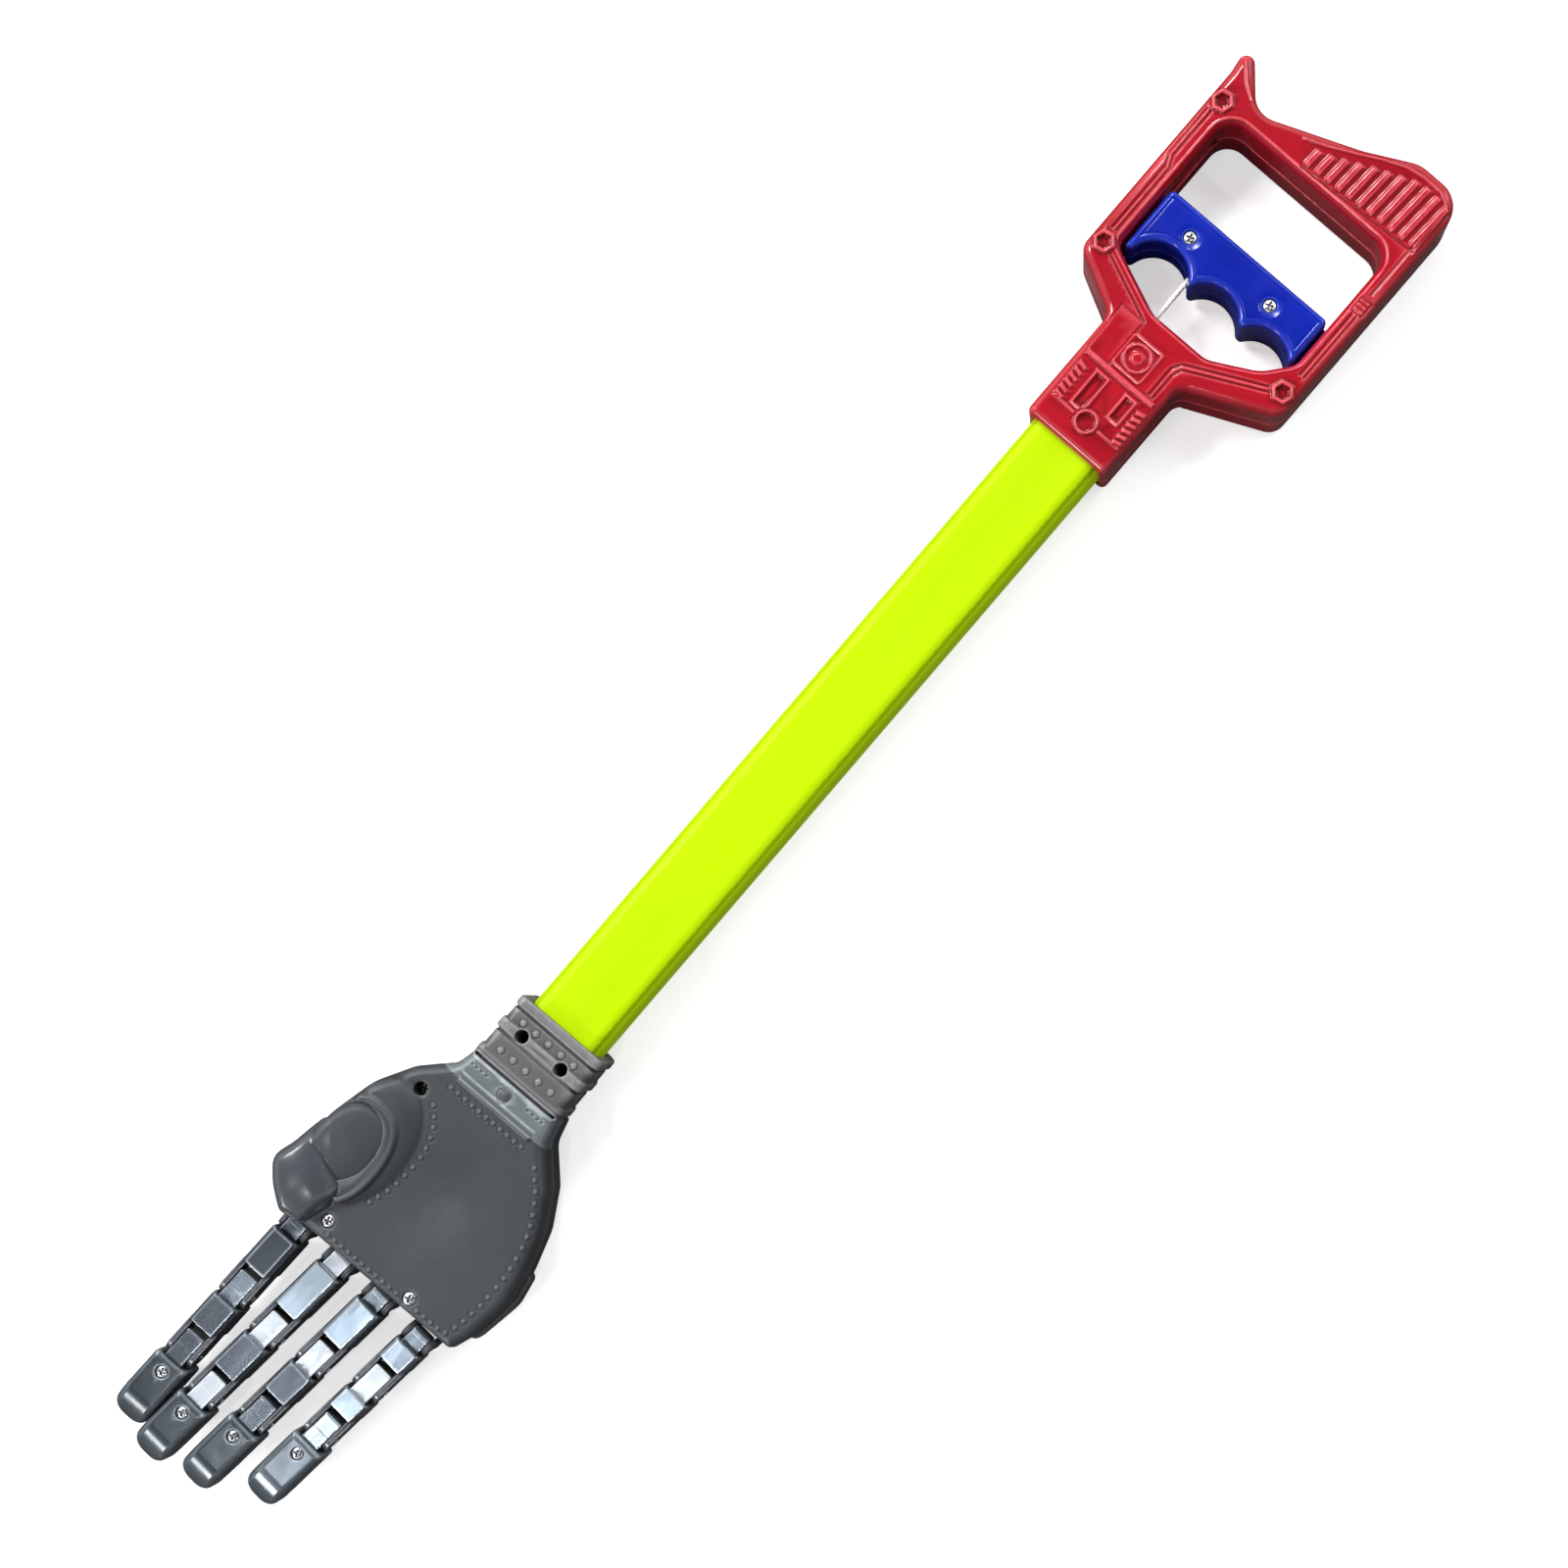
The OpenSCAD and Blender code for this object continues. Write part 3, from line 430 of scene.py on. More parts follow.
LINK_LIT = plastic("finger_link_lit", srgb(190, 198, 207), srgb(166, 176, 186), srgb(240, 244, 248), srgb(60, 64, 70), rough=(0.2, 0.34), metallic=0.35, vary=90, bump=0.01, edge_highlight=0.6, stretch=(0.22, 1.0, 1.0), grain=350.0)
TIP = plastic("tip_plastic", srgb(58, 66, 72), srgb(46, 54, 59), srgb(176, 186, 195), srgb(22, 25, 28), rough=(0.17, 0.25), metallic=0.3, vary=50, bump=0.015, edge_highlight=0.5)
# lit copy of the tip plastic for the top of the little fingertip: painted sheen
TIP_LIT = plastic("tip_plastic_lit", srgb(104, 113, 122), srgb(84, 93, 101), srgb(186, 196, 205), srgb(24, 27, 30), rough=(0.17, 0.25), metallic=0.5, vary=50, bump=0.015, edge_highlight=0.5)
STEEL = plastic("plated_steel", srgb(176, 178, 184), srgb(140, 143, 150), srgb(236, 238, 242), srgb(24, 24, 27), rough=(0.18, 0.34), metallic=1.0, vary=200, bump=0.01, edge_highlight=0.5)
CORD = plastic("nylon_cord", srgb(240, 240, 236), srgb(222, 222, 216), srgb(250, 250, 248), srgb(176, 176, 171), rough=(0.35, 0.5), vary=300, bump=0.05, edge_highlight=0.2)
NATURAL = plastic("slider_plastic", srgb(206, 200, 186), srgb(190, 184, 170), srgb(226, 222, 212), srgb(120, 114, 104), rough=(0.4, 0.55), vary=60, bump=0.03)

# ------------------------------------------------------------------ handle
handle_outer = [(-142, -15.5, 2), (-142, 15.5, 2), (-177, 15.5, 5), (-190.5, 45.2, 6), (-277.3, 45.2, 9),
                (-277.3, 27, 12), (-269, 11, 30), (-256.2, -21, 8), (-270.3, -33.4, 2.6),
                (-266.6, -36.1, 2.2), (-261, -35.3, 6), (-190.6, -35.3, 5), (-180.4, -15.5, 5)]
window = [(-250.5, -27, 7), (-198.5, -27, 4), (-189.5, -5, 12), (-189.5, 16, 8), (-197.5, 31, 15), (-206, 38, 6), (-250.5, 38, 7)]
HSCREW = [(-196.6, 40.6), (-196.2, -30.6), (-252, -31), (-268, 34), (-175.5, 8.5)]
HEXES = [(-196.6, 40.6), (-196.2, -30.6), (-252, -31)]
CY = -5.5

def handle_half(front):
    PO, PW = rounded(handle_outer, 8), rounded(window, 8)
    def make(X, Y):
        do, dw = poly2(X, Y, PO), poly2(X, Y, PW)
        # the neck and mouth, a little rounder
        H = np.zeros(X.shape, f32)
        if front:
            # raised and sunk details are kept apart, so neither wipes the other
            U, D, E = (np.zeros(X.shape, f32) for _ in range(3))
            def line(P, w=0.6, a=0.5, soft=0.45, closed=False):
                np.minimum(D, -a * step(path2(X, Y, P, closed) - w / 2, soft), out=D)
            def rise(d, a, soft=0.5):
                np.maximum(U, a * step(d, soft), out=U)
            # lower rail channel with a jog, doubled
            for o in (0.0, 1.6):
                line([(-201, -31.6 + o), (-226, -31.6 + o), (-229.5, -33.3 + o), (-247.5, -33.3 + o)])
                line([(-204, 41.0 + o), (-228.5, 41.0 + o)])
            line([(-236.5, 41.8), (-258, 41.8)], w=0.6, a=0.4)
            # small box detail of the upper rail
            line([(-229.5, 39.8), (-234.5, 39.8), (-234.5, 43.8), (-229.5, 43.8)], closed=True, w=0.5)
            line([(-231.2, 39.8), (-231.2, 43.8)], w=0.4)
            line([(-232.9, 39.8), (-232.9, 43.8)], w=0.4)
            # shoulders
            for o in (0.0, 1.6):
                line([(-194.4 - o * 0.9, 38.0 - o * 0.4), (-181.9 - o * 0.9, 12.9 - o * 0.6), (-178.5 - o, 11.6 - o), (-169.5, 11.6 - o)])
            line([(-194.8, -27.5), (-187.2, -9.5), (-185.4, -5.5)])
            line([(-185.2, -5.2), (-185.2, -14.0), (-169, -14.0)], w=0.45, a=0.35)
            line([(-185.2, -5.2), (-169, -5.2)], w=0.45, a=0.35)
            # ribs of the grip
            line([(-252.4, 0.0), (-254.7, 43.0)], w=0.5, a=0.45)
            back = lambda y: np.interp(y, [0, 6, 12, 18, 24, 30, 36, 42], [-259.0, -261.0, -263.8, -266.8, -269.3, -271.8, -272.9, -271.5])
            for i in range(11):
                y = 0.8 + 4.05 * i
                x0, x1 = -253.6 - 2.3 * y / 43, float(back(y + 1.0))
                rise(box2(X, Y, (x0 + x1) / 2, y + 0.55, abs(x1 - x0) / 2, 1.05, -3, 0.5), 0.75, 0.7)
            line([(-255.5, 43.5), (-270.5, 43.5)], w=0.5, a=0.3)
            # raised bead along the grip's back edge and on the spur
            bead = [(-259.6, -4.5), (-262.4, 2.5), (-266.3, 10.3), (-270.4, 18), (-273.2, 25), (-274.2, 31), (-274.1, 37.5), (-271.8, 42.0), (-267.4, 43.2), (-254, 43.2)]
            rise(path2(X, Y, bead) - 0.3, 0.6, 0.8)
            rise(path2(X, Y, [(-265.6, -33.2), (-261.0, -28.8), (-257.9, -24.2)]) - 0.35, 0.6, 0.8)
            # bead round the window
            U = np.maximum(U, 0.45 * step(np.abs(dw - 1.5) - 0.35, 0.7) * step(X + 181, 3))
            # hexagon bosses
            for c in HEXES:
                d = hex2(X, Y, c[0], c[1], 3.3, 12)
                U, D = np.where(d < 0.6, 0, U), np.where(d < 0.6, 0, D)
                E += 0.8 * step(d, 0.45) - 1.6 * step(hex2(X, Y, c[0], c[1], 2.1, 12), 0.4)
            # neck: bar across, louvres, boxes, ring
            rise(box2(X, Y, -167.6, 0.3, 0.75, 13.2, 0, 0.4), 0.7, 0.45)
            U = np.maximum(U, 0.5 * step(box2(X, Y, -150.8, 0.8, 0.35, 13.2, 0, 0.2), 0.45) * step(-circ2(X, Y, -150.8, 1, 4.2)))
            for s in (1, -1):
                for i in range(6):
                    rise(box2(X, Y, -163.2 + 2.25 * i, 12.3 if s > 0 else -10.9, 0.65, 1.6, 14 * s, 0.3), 0.65, 0.45)
            for bx in (((-165.3, -155.8), (4.6, 9.2)), ((-165.3, -152.2), (-6.8, -1.6))):
                cx, cy = sum(bx[0]) / 2, sum(bx[1]) / 2
                hx, hy = abs(bx[0][1] - bx[0][0]) / 2, abs(bx[1][1] - bx[1][0]) / 2
                d = box2(X, Y, cx, cy, hx, hy, 0, 0.3)
                rise(np.abs(d + 0.35) - 0.4, 0.6, 0.4)
                D = np.minimum(D, -0.5 * step(d + 1.0, 0.45))
            d = circ2(X, Y, -150.8, 1, 3.9)
            U, D = np.where(d < 0.5, 0, U), np.where(d < 0.5, 0, D)
            E += 0.8 * step(np.abs(d + 0.5) - 0.45, 0.45) - 0.5 * step(d + 1.1, 0.4)
            # plain round badge in a square frame
            rise(np.abs(box2(X, Y, -175.6, 0.4, 5.6, 5.4, 0, 0.8)) - 0.3, 0.5, 0.4)
            rise(np.abs(circ2(X, Y, -175.6, 0.4, 4.3)) - 0.35, 0.6, 0.45)
            rise(circ2(X, Y, -175.6, 0.4, 2.0), 0.6, 1.0)
            H = U + D + E
        neck = X > -172
        cav = np.maximum(np.maximum(do + 2.2, 2.2 - dw), X + 171)
        hole = None
        for p in HSCREW:
            cav = np.maximum(cav, -circ2(X, Y, p[0], p[1], 3.1))
        top = 12.5
        slot = np.minimum(box2(X, Y, -225, 39, 21, 2), box2(X, Y, -225, -28.2, 21, 2))
        wells = np.minimum.reduce([circ2(X, Y, p[0], p[1], 2.75) for p in HSCREW])
        pilot = np.minimum.reduce([circ2(X, Y, p[0], p[1], 1.4) for p in HSCREW])
        flat = np.where(X > -186, 0, 1)
        dwy = np.maximum(dw, -50)
        body2 = rint(do, -dw, 0.3)
        def at(z):
            f = rint(rint(do, -dw, 0.3), z - (top + H), 2.8 if front else np.where(X > -178, 4.6, 3.0))
            f = rint(f, -z + 0.02, 0.35)
            # socket for the tube
            dz = np.maximum(z - 9.85, -z - 5)
            sock = rint(np.abs(Y) - 13.35, z - 9.85, 4.1)
            sock = np.maximum(sock, -165.2 - X)
            f = np.maximum(f, -sock)
            c = np.maximum(cav, z - 10.3)
            f = np.maximum(f, -c)
            f = np.maximum(f, -np.maximum(slot, z - 3))
            f = np.maximum(f, -np.maximum(np.hypot(Y - CY, z) - 1.5, np.maximum(X + 160, -200 - X)))
            if front:
                f = np.maximum(f, -np.maximum(pilot, z - 8.5))
            else:
                f = np.maximum(f, -pilot)
                f = rint(f, -np.maximum(wells, 9.9 - z), 0.25)
            return f
        if front:
            return at
        return lambda z: at(-z)
    return make

ratio = 0.3
solid("handle_front", (-278, -36.5, 0), (-141, 46.2, 13.4), 0.33, handle_half(True), "frame", RED, ("handle_front_shell",), ratio)
solid("handle_back", (-278, -36.5, -12.5), (-141, 46.2, 0), 0.4, handle_half(False), "frame", RED, ("handle_back_shell",), ratio)

# ------------------------------------------------------------------ trigger
trigger_out = [(-223, -26, 1.8), (-199.8, -26, 0.8), (-201.4, -22, 1), (-204.3, -3, 2), (-204.8, 17, 2), (-203.6, 32, 1), (-206.6, 36.6, 0.8), (-223, 36.8, 1.8)]
TSCREW = [(-215, 20), (-215, -12)]

def trigger_half(front):
    PT = rounded(trigger_out, 5)
    def make(X, Y):
        d = poly2(X, Y, PT)
        for i in range(3):
            d = -runi(-d, circ2(X, Y, -199.2, 27 - 20 * i, 10.5), 0.9)
        tabs = np.minimum(box2(X, Y, -215, 38, 7, 2.2, 0, 0.5), box2(X, Y, -215, -27.2, 7, 2.1, 0, 0.5))
        cav = np.maximum(poly2(X, Y, rounded([(-220.8, -23.8, 1), (-212, -23.8, 1), (-212.5, 34.6, 1), (-220.8, 34.6, 1)], 3)),
                         -np.minimum.reduce([circ2(X, Y, p[0], p[1], 2.9) for p in TSCREW]))
        H = np.zeros(X.shape, f32)
        # faint sink marks over the bosses, and a moulded line along the back
        for p in TSCREW:
            H -= 0.25 * step(circ2(X, Y, p[0], p[1], 3.4), 1.6)
        H -= 0.12 * step(np.abs(d + 2.2) - 0.2, 0.5)
        sc = np.minimum.reduce([circ2(X, Y, p[0], p[1], 2.3) for p in TSCREW])
        pl = np.minimum.reduce([circ2(X, Y, p[0], p[1], 1.4) for p in TSCREW])
        def at(z):
            f = rint(d, z - (9.5 + H), 1.6)
            f = np.minimum(f, np.maximum(tabs, z - 2.6))
            f = rint(f, -z + 0.02, 0.3)
            f = np.maximum(f, -np.maximum(cav, z - 7.5))
            f = np.maximum(f, -np.maximum(np.hypot(Y - CY, z) - 1.0, -216 - X))
            if front:
                f = np.maximum(f, -np.maximum(sc, 8.2 - z))
                f = np.maximum(f, -pl)
            else:
                f = np.maximum(f, -np.maximum(pl, z - 7))
            return f
        return at if front else (lambda z: at(-z))
    return make

solid("trigger_front", (-223.5, -29.5, 0), (-196, 40.5, 9.6), 0.3, trigger_half(True), "trigger", BLUE, ("trigger_front_half",), 0.4)
solid("trigger_back", (-223.5, -29.5, -9.6), (-196, 40.5, 0), 0.36, trigger_half(False), "trigger", BLUE, ("trigger_back_half",), 0.4)

# ------------------------------------------------------------------ tube
def make_tube():
    def make(X, Y):
        hole_f = np.minimum(circ2(X, Y, 103, 7.75, 2.9), circ2(X, Y, 103, -7.75, 2.9))
        hole_b = np.minimum(circ2(X, Y, 103, 7.75, 1.4), circ2(X, Y, 103, -7.75, 1.4))
        def at(z):
            o = rint(np.abs(Y) - 12.75, np.full(X.shape, abs(z) - 9.55, f32), 4.5)
            o = rint(o, np.maximum(-165.0 - X, X - 110.0), 0.3)
            i = rint(np.abs(Y) - 11.15, np.full(X.shape, abs(z) - 7.95, f32), 2.9)
            return np.maximum(np.maximum(o, -i), -(hole_f if z > 0 else hole_b))
        return at
    return make
def tube_inside(C):
    return np.where(((np.abs(C[:, 1]) < 11.9) & (np.abs(C[:, 2]) < 8.7)) | (C[:, 0] > 94.5) | (C[:, 0] < -152), 1, 0)
solid("tube_profile", (-165.3, -13.4, -9.9), (110.3, 13.4, 9.9), 0.42, make_tube(), "frame", [TUBE, TUBE_IN], ("tube",), 0.2, curv=1.0, pick=tube_inside, cut=(-152, 94.5))

# ------------------------------------------------------------------ hand
palm_low = [(116, -16.6, 3), (122, -18, 6), (131, -27, 10), (143, -33.8, 20), (158, -37.4, 20), (173, -37.8, 10), (185, -34.5, 6)]
palm_high = [(184, 39.4, 8), (170, 41.4, 20), (159, 39.4, 20), (146, 35.3, 20), (134, 28.3, 12), (124, 18.8, 8), (116, 16.6, 3)]
palm_front_out = [(93, -16.6, 1)] + palm_low + [(190.1, -30.5, 1.5), (190.1, 37, 1.5)] + palm_high + [(93, 16.6, 1)]
palm_back_out = [(93, -16.6, 1)] + palm_low + [(194.2, -30.5, 2), (194.2, 36, 2)] + palm_high + [(93, 16.6, 1)]
thumb_out = [(158, -35.2, 1.8), (160.5, -38, 4), (171, -39, 16), (178.6, -41.3, 5.5), (185, -35.6, 10), (190.6, -29.2, 3), (190, -21.6, 3), (180, -17.2, 4), (174.5, -17.2, 4), (170, -24.5, 8)]
thumb_oval = (163.4, -26.0, 15.9, 10.4)
palm_tab_high = [(158, 36, 1), (187, 36, 2), (186, 40.4, 2.5), (170, 43, 12), (160.5, 41.2, 2)]
palm_tab_low = [(158, -35, 1), (159, -38.6, 2), (173, -39.6, 10), (184.6, -36.8, 3), (187, -33, 1)]
FING = {"index": (194.0, -24.1, -1.5, 3.3, 17.6, 30.5, 42.0, 55.0, 78.0), "middle": (194.0, -7.0, -5.0, 3.3, 21.2, 34.1, 47.8, 60.7, 83.2),
        "ring": (194.2, 9.5, -5.3, 3.3, 18.6, 31.4, 43.2, 55.9, 80.2), "little": (195.6, 27.0, -5.4, 3.3, 11.4, 25.0, 32.6, 45.6, 69.4)}
ZP = 1.5
PSCREW = [(186, 18), (184, -16.2), (135, -21), (120, 0)]
CSCREW = [(103, 7.75), (103, -7.75)]

def thumb_plan(X, Y):
    """plan distances of the base and end segments, and distance past the ridge of the end segment"""
    a, c = math.radians(-10.6), (182.0, -21.7)
    side = -(X - c[0]) * math.sin(a) + (Y - c[1]) * math.cos(a)
    x, y, p, q = thumb_oval
    dx, dy = X - f32(x), Y - f32(y)
    k = ((np.abs(dx) / p) ** 2.4 + (np.abs(dy) / q) ** 2.4) ** (1 / 2.4)
    oval = (k - 1) * np.hypot(dx, dy) / np.maximum(k, 1e-3)
    oval = np.where(k < 0.05, -min(p, q), oval)
    return oval, poly2(X, Y, rounded(thumb_out, 8)), side

def thumb_field(X, Y, z, plan, g=0.0):
    base, cap, side = plan
    root = rint(base - g, ball(X, Y, z, (161.2, -32.5, -14.2), 32.6 + g), 3.0)
    # end segment: domed top that falls softly to the base, a ridge and the steep flank under it
    top = ball(X, Y, z, (178, -32, -10.5), 30.2 + g)
    top = rint(top, (z - 18.9) * 0.8 + ((X - 167) * -0.73 + (Y + 30.3) * 0.684) * 0.6 - g, 3.5)
    top = rint(top, (z - 17.2) * 0.5 + side * 0.866 - g, 0.7)
    end = rint(cap - g, top, 3.4)
    end = rint(end, 9.3 - g - z, 1.6)
    return root, end

def finger_gap(X, Y, f, half, x0, x1):
    a = math.radians(f[2])
    x, y = (X - f[0]) * math.cos(a) + (Y - f[1]) * math.sin(a), -(X - f[0]) * math.sin(a) + (Y - f[1]) * math.cos(a)
    return np.maximum(np.maximum(x0 - x, x - x1), np.abs(y) - half), x, y

def palm_front():
    PO = rounded(palm_front_out, 6)
    def make(X, Y):
        d = poly2(X, Y, PO)
        H = np.zeros(X.shape, f32)
        hand = X > 117
        # palm plate: sunk a little inside a soft border, and dished in the middle
        H -= 0.8 * np.clip(1 - ((X - 161) / 30) ** 2 - ((Y - 10 + 0.12 * (X - 161)) / 23) ** 2, 0, 1) ** 2
        # raised edge before the palm and stepped wrist plate
        H += 0.8 * step(box2(X, Y, 125.4, 0, 0.8, 14.2, 0, 0.5), 1.0)
        H += 0.25 * step(box2(X, Y, 122.6, 0, 0.35, 14.6, 0, 0.2), 0.5)
        # rivets
        R = [(128.7, y) for y in np.arange(-14, 15.1, 2.8)]
        up = [(131, 21.2), (133.7, 23.7), (136.2, 26.1), (139.2, 28.3), (142.1, 30.2), (145.1, 31.8), (148.3, 33.1), (151.8, 34.2), (155.5, 35), (159, 35.6), (162.4, 36),
              (166, 36), (170, 36), (173.4, 36), (177, 35.6), (180.4, 35.1), (183.6, 34.4), (186.7, 33.2)]
        R += up
        R += [(187.3, y) for y in np.arange(-13.5, 31, 2.75)]
        R += [(136.4, -14.6), (138.9, -12.1), (141.5, -10.3), (144.5, -8.8), (147.8, -7.8), (151, -7.2), (154.8, -7.1), (158.3, -7.3), (161.8, -7.6), (165.2, -8.3), (168.4, -9.3), (171.4, -10.2)]
        rv = np.minimum.reduce([circ2(X, Y, c[0], c[1], 0.0) for c in R])
        H += 0.42 * np.sqrt(np.clip(1 - (rv / 0.8) ** 2, 0, 1)) - 0.2 * step(np.abs(rv - 1.1) - 0.12, 0.5)
        small = [(118.9, s * y) for s in (1, -1) for y in (8.2, 10.2, 12.2, 13.8)]
        rv = np.minimum.reduce([circ2(X, Y, c[0], c[1], 0.0) for c in small])
        H -= 0.4 * step(rv - 0.35, 0.5)
        big = [(x, y) for x in (99.5, 110.2) for y in (-10, -5, 0, 5, 10)]
        rv = np.minimum.reduce([circ2(X, Y, c[0], c[1], 0.0) for c in big])
        H += 0.45 * np.sqrt(np.clip(1 - (rv / 1.15) ** 2, 0, 1)) - 0.2 * step(np.abs(rv - 1.35) - 0.1, 0.5)
        # wrist screw ring
        rv = circ2(X, Y, 120, 0, 0)
        H -= 0.35 * step(np.abs(rv - 2.3) - 0.3, 0.5)
        # rings round the two palm screws
        for c in ((186, 18), (184, -16.2)):
            rv = circ2(X, Y, c[0], c[1], 0)
            H = np.where(rv < 3.0, np.minimum(H, 0), H)
            H -= 0.3 * step(np.abs(rv - 2.6) - 0.2, 0.5)
        rv = circ2(X, Y, 135, -21, 0)
        H -= 0.3 * step(np.abs(rv - 2.5) - 0.2, 0.5)
        # body of the collar: bands and grooves
        C = np.zeros(X.shape, f32)
        C += 0.55 * step(box2(X, Y, 94.7, 0, 1.5, 40, 0, 0.4), 0.7)
        C += 0.75 * step(box2(X, Y, 103.2, 0, 1.75, 40, 0, 0.5), 0.7)
        C -= 0.7 * step(np.abs(X - 96.8) - 0.2, 0.6)
        C -= 0.8 * step(np.abs(X - 105.7) - 0.15, 0.6)
        C -= 1.5 * step(np.abs(X - 115.7) - 0.35, 0.6) * step(np.abs(Y) - 15.6, 1)
        C += 0.25 * step(np.abs(X - 113.4) - 0.3, 0.5)
        wells = np.minimum.reduce([circ2(X, Y, c[0], c[1], 2.12) for c in CSCREW])
        gaps, ears = None, None
        for f in FING.values():
            g = finger_gap(X, Y, f, 3.7, -9, 4)[0]
            gaps = g if gaps is None else np.minimum(gaps, g)
        core = d + 2.1
        keep = np.minimum.reduce([circ2(X, Y, 186, 18, 3.0), circ2(X, Y, 184, -16.2, 3.0), circ2(X, Y, 135, -21, 3.4), circ2(X, Y, 120, 0, 2.8)])
        pil = np.minimum.reduce([circ2(X, Y, c[0], c[1], 1.4) for c in PSCREW])
        sink = np.minimum(circ2(X, Y, 186, 18, 2.25), circ2(X, Y, 184, -16.2, 2.25))
        deep = circ2(X, Y, 135, -21, 2.15)
        wr = circ2(X, Y, 120, 0, 1.9)
        # rims round the thumb follow its base
        plan = thumb_plan(X, Y)
        de = plan[0]
        # how far inside the foot of the mound
        dx, dy = X - f32(159), Y + f32(26.5)
        k = np.sqrt((dx / 23.5) ** 2 + (dy / 17.6) ** 2)
        dm = np.where(k < 0.05, 17.6, (1 - k) * np.hypot(dx, dy) / np.maximum(k, 1e-3))
        zr = 14.4 - 0.02 * (X - 161) - 0.05 * np.maximum(-26 - Y, 0)
        def at(z):
            w = np.where(X < 117.4, 0.0, 1.0)
            # hand plate with a round shoulder, collar with its own section
            f = rint(d, z - (11.8 + H), 3.4)
            fc = rint(np.abs(Y) - (np.where(X < 112, 15.9, 16.6) + C * 0.9), z - (11.7 + H * w + (1 - w) * (H + C)), 2.6)
            fc = np.maximum(fc, 93.0 - X)
            fc = np.maximum(fc, X - 118.5)
            f = np.where(X < 116.2, np.maximum(fc, d - 1.2), f)
            # mound with two rims
            mound = rint((z - 11.7 - 0.8 * dm) * 0.78, z - 14.9, 2.4)
            mound = rint(mound, d + 0.6, 3.0)
            mound = np.maximum(mound, 4 - z)
            f = runi(f, mound, 0.5)
            rim = np.maximum(np.hypot(de - 1.15, z - zr) - 1.2, np.maximum(X - 177, -33.0 - Y))
            f = runi(f, rim, 0.9)
            f = rint(f, -z + 0.02, 0.3)
            # inside
            core_z = np.maximum(core, z - 9.8)
            core_z = np.maximum(core_z, 112 - X)
            core_z = np.maximum(core_z, -keep if z < 9.9 else -keep)
            f = np.maximum(f, -core_z)
            sock = rint(np.abs(Y) - 13.35, z - 9.85, 4.1)
            sock = np.maximum(sock, X - 110.2)
            f = np.maximum(f, -sock)
            f = np.maximum(f, -np.maximum(np.hypot(Y - CY, z) - 1.5, np.maximum(X - 115, 108 - X)))
            f = np.minimum(f, np.maximum(wells - 0.65, np.maximum(1.6 - z, z - 10.8)))
            f = rint(f, -wells, 0.25)
            f = np.maximum(f, -np.maximum(pil, z - 30))
            f = rint(f, -np.maximum(sink, 10.3 - z), 0.2)
            f = rint(f, -np.maximum(deep, 5 - z), 0.3)
            f = rint(f, -np.maximum(wr, 10.9 - z), 0.2)
            f = np.maximum(f, -np.maximum(gaps, z - 5.4))
            a, b = thumb_field(X, Y, z, plan, 0.03)
            f = np.maximum(f, -np.minimum(a, b))
            return f
        return at
    return make

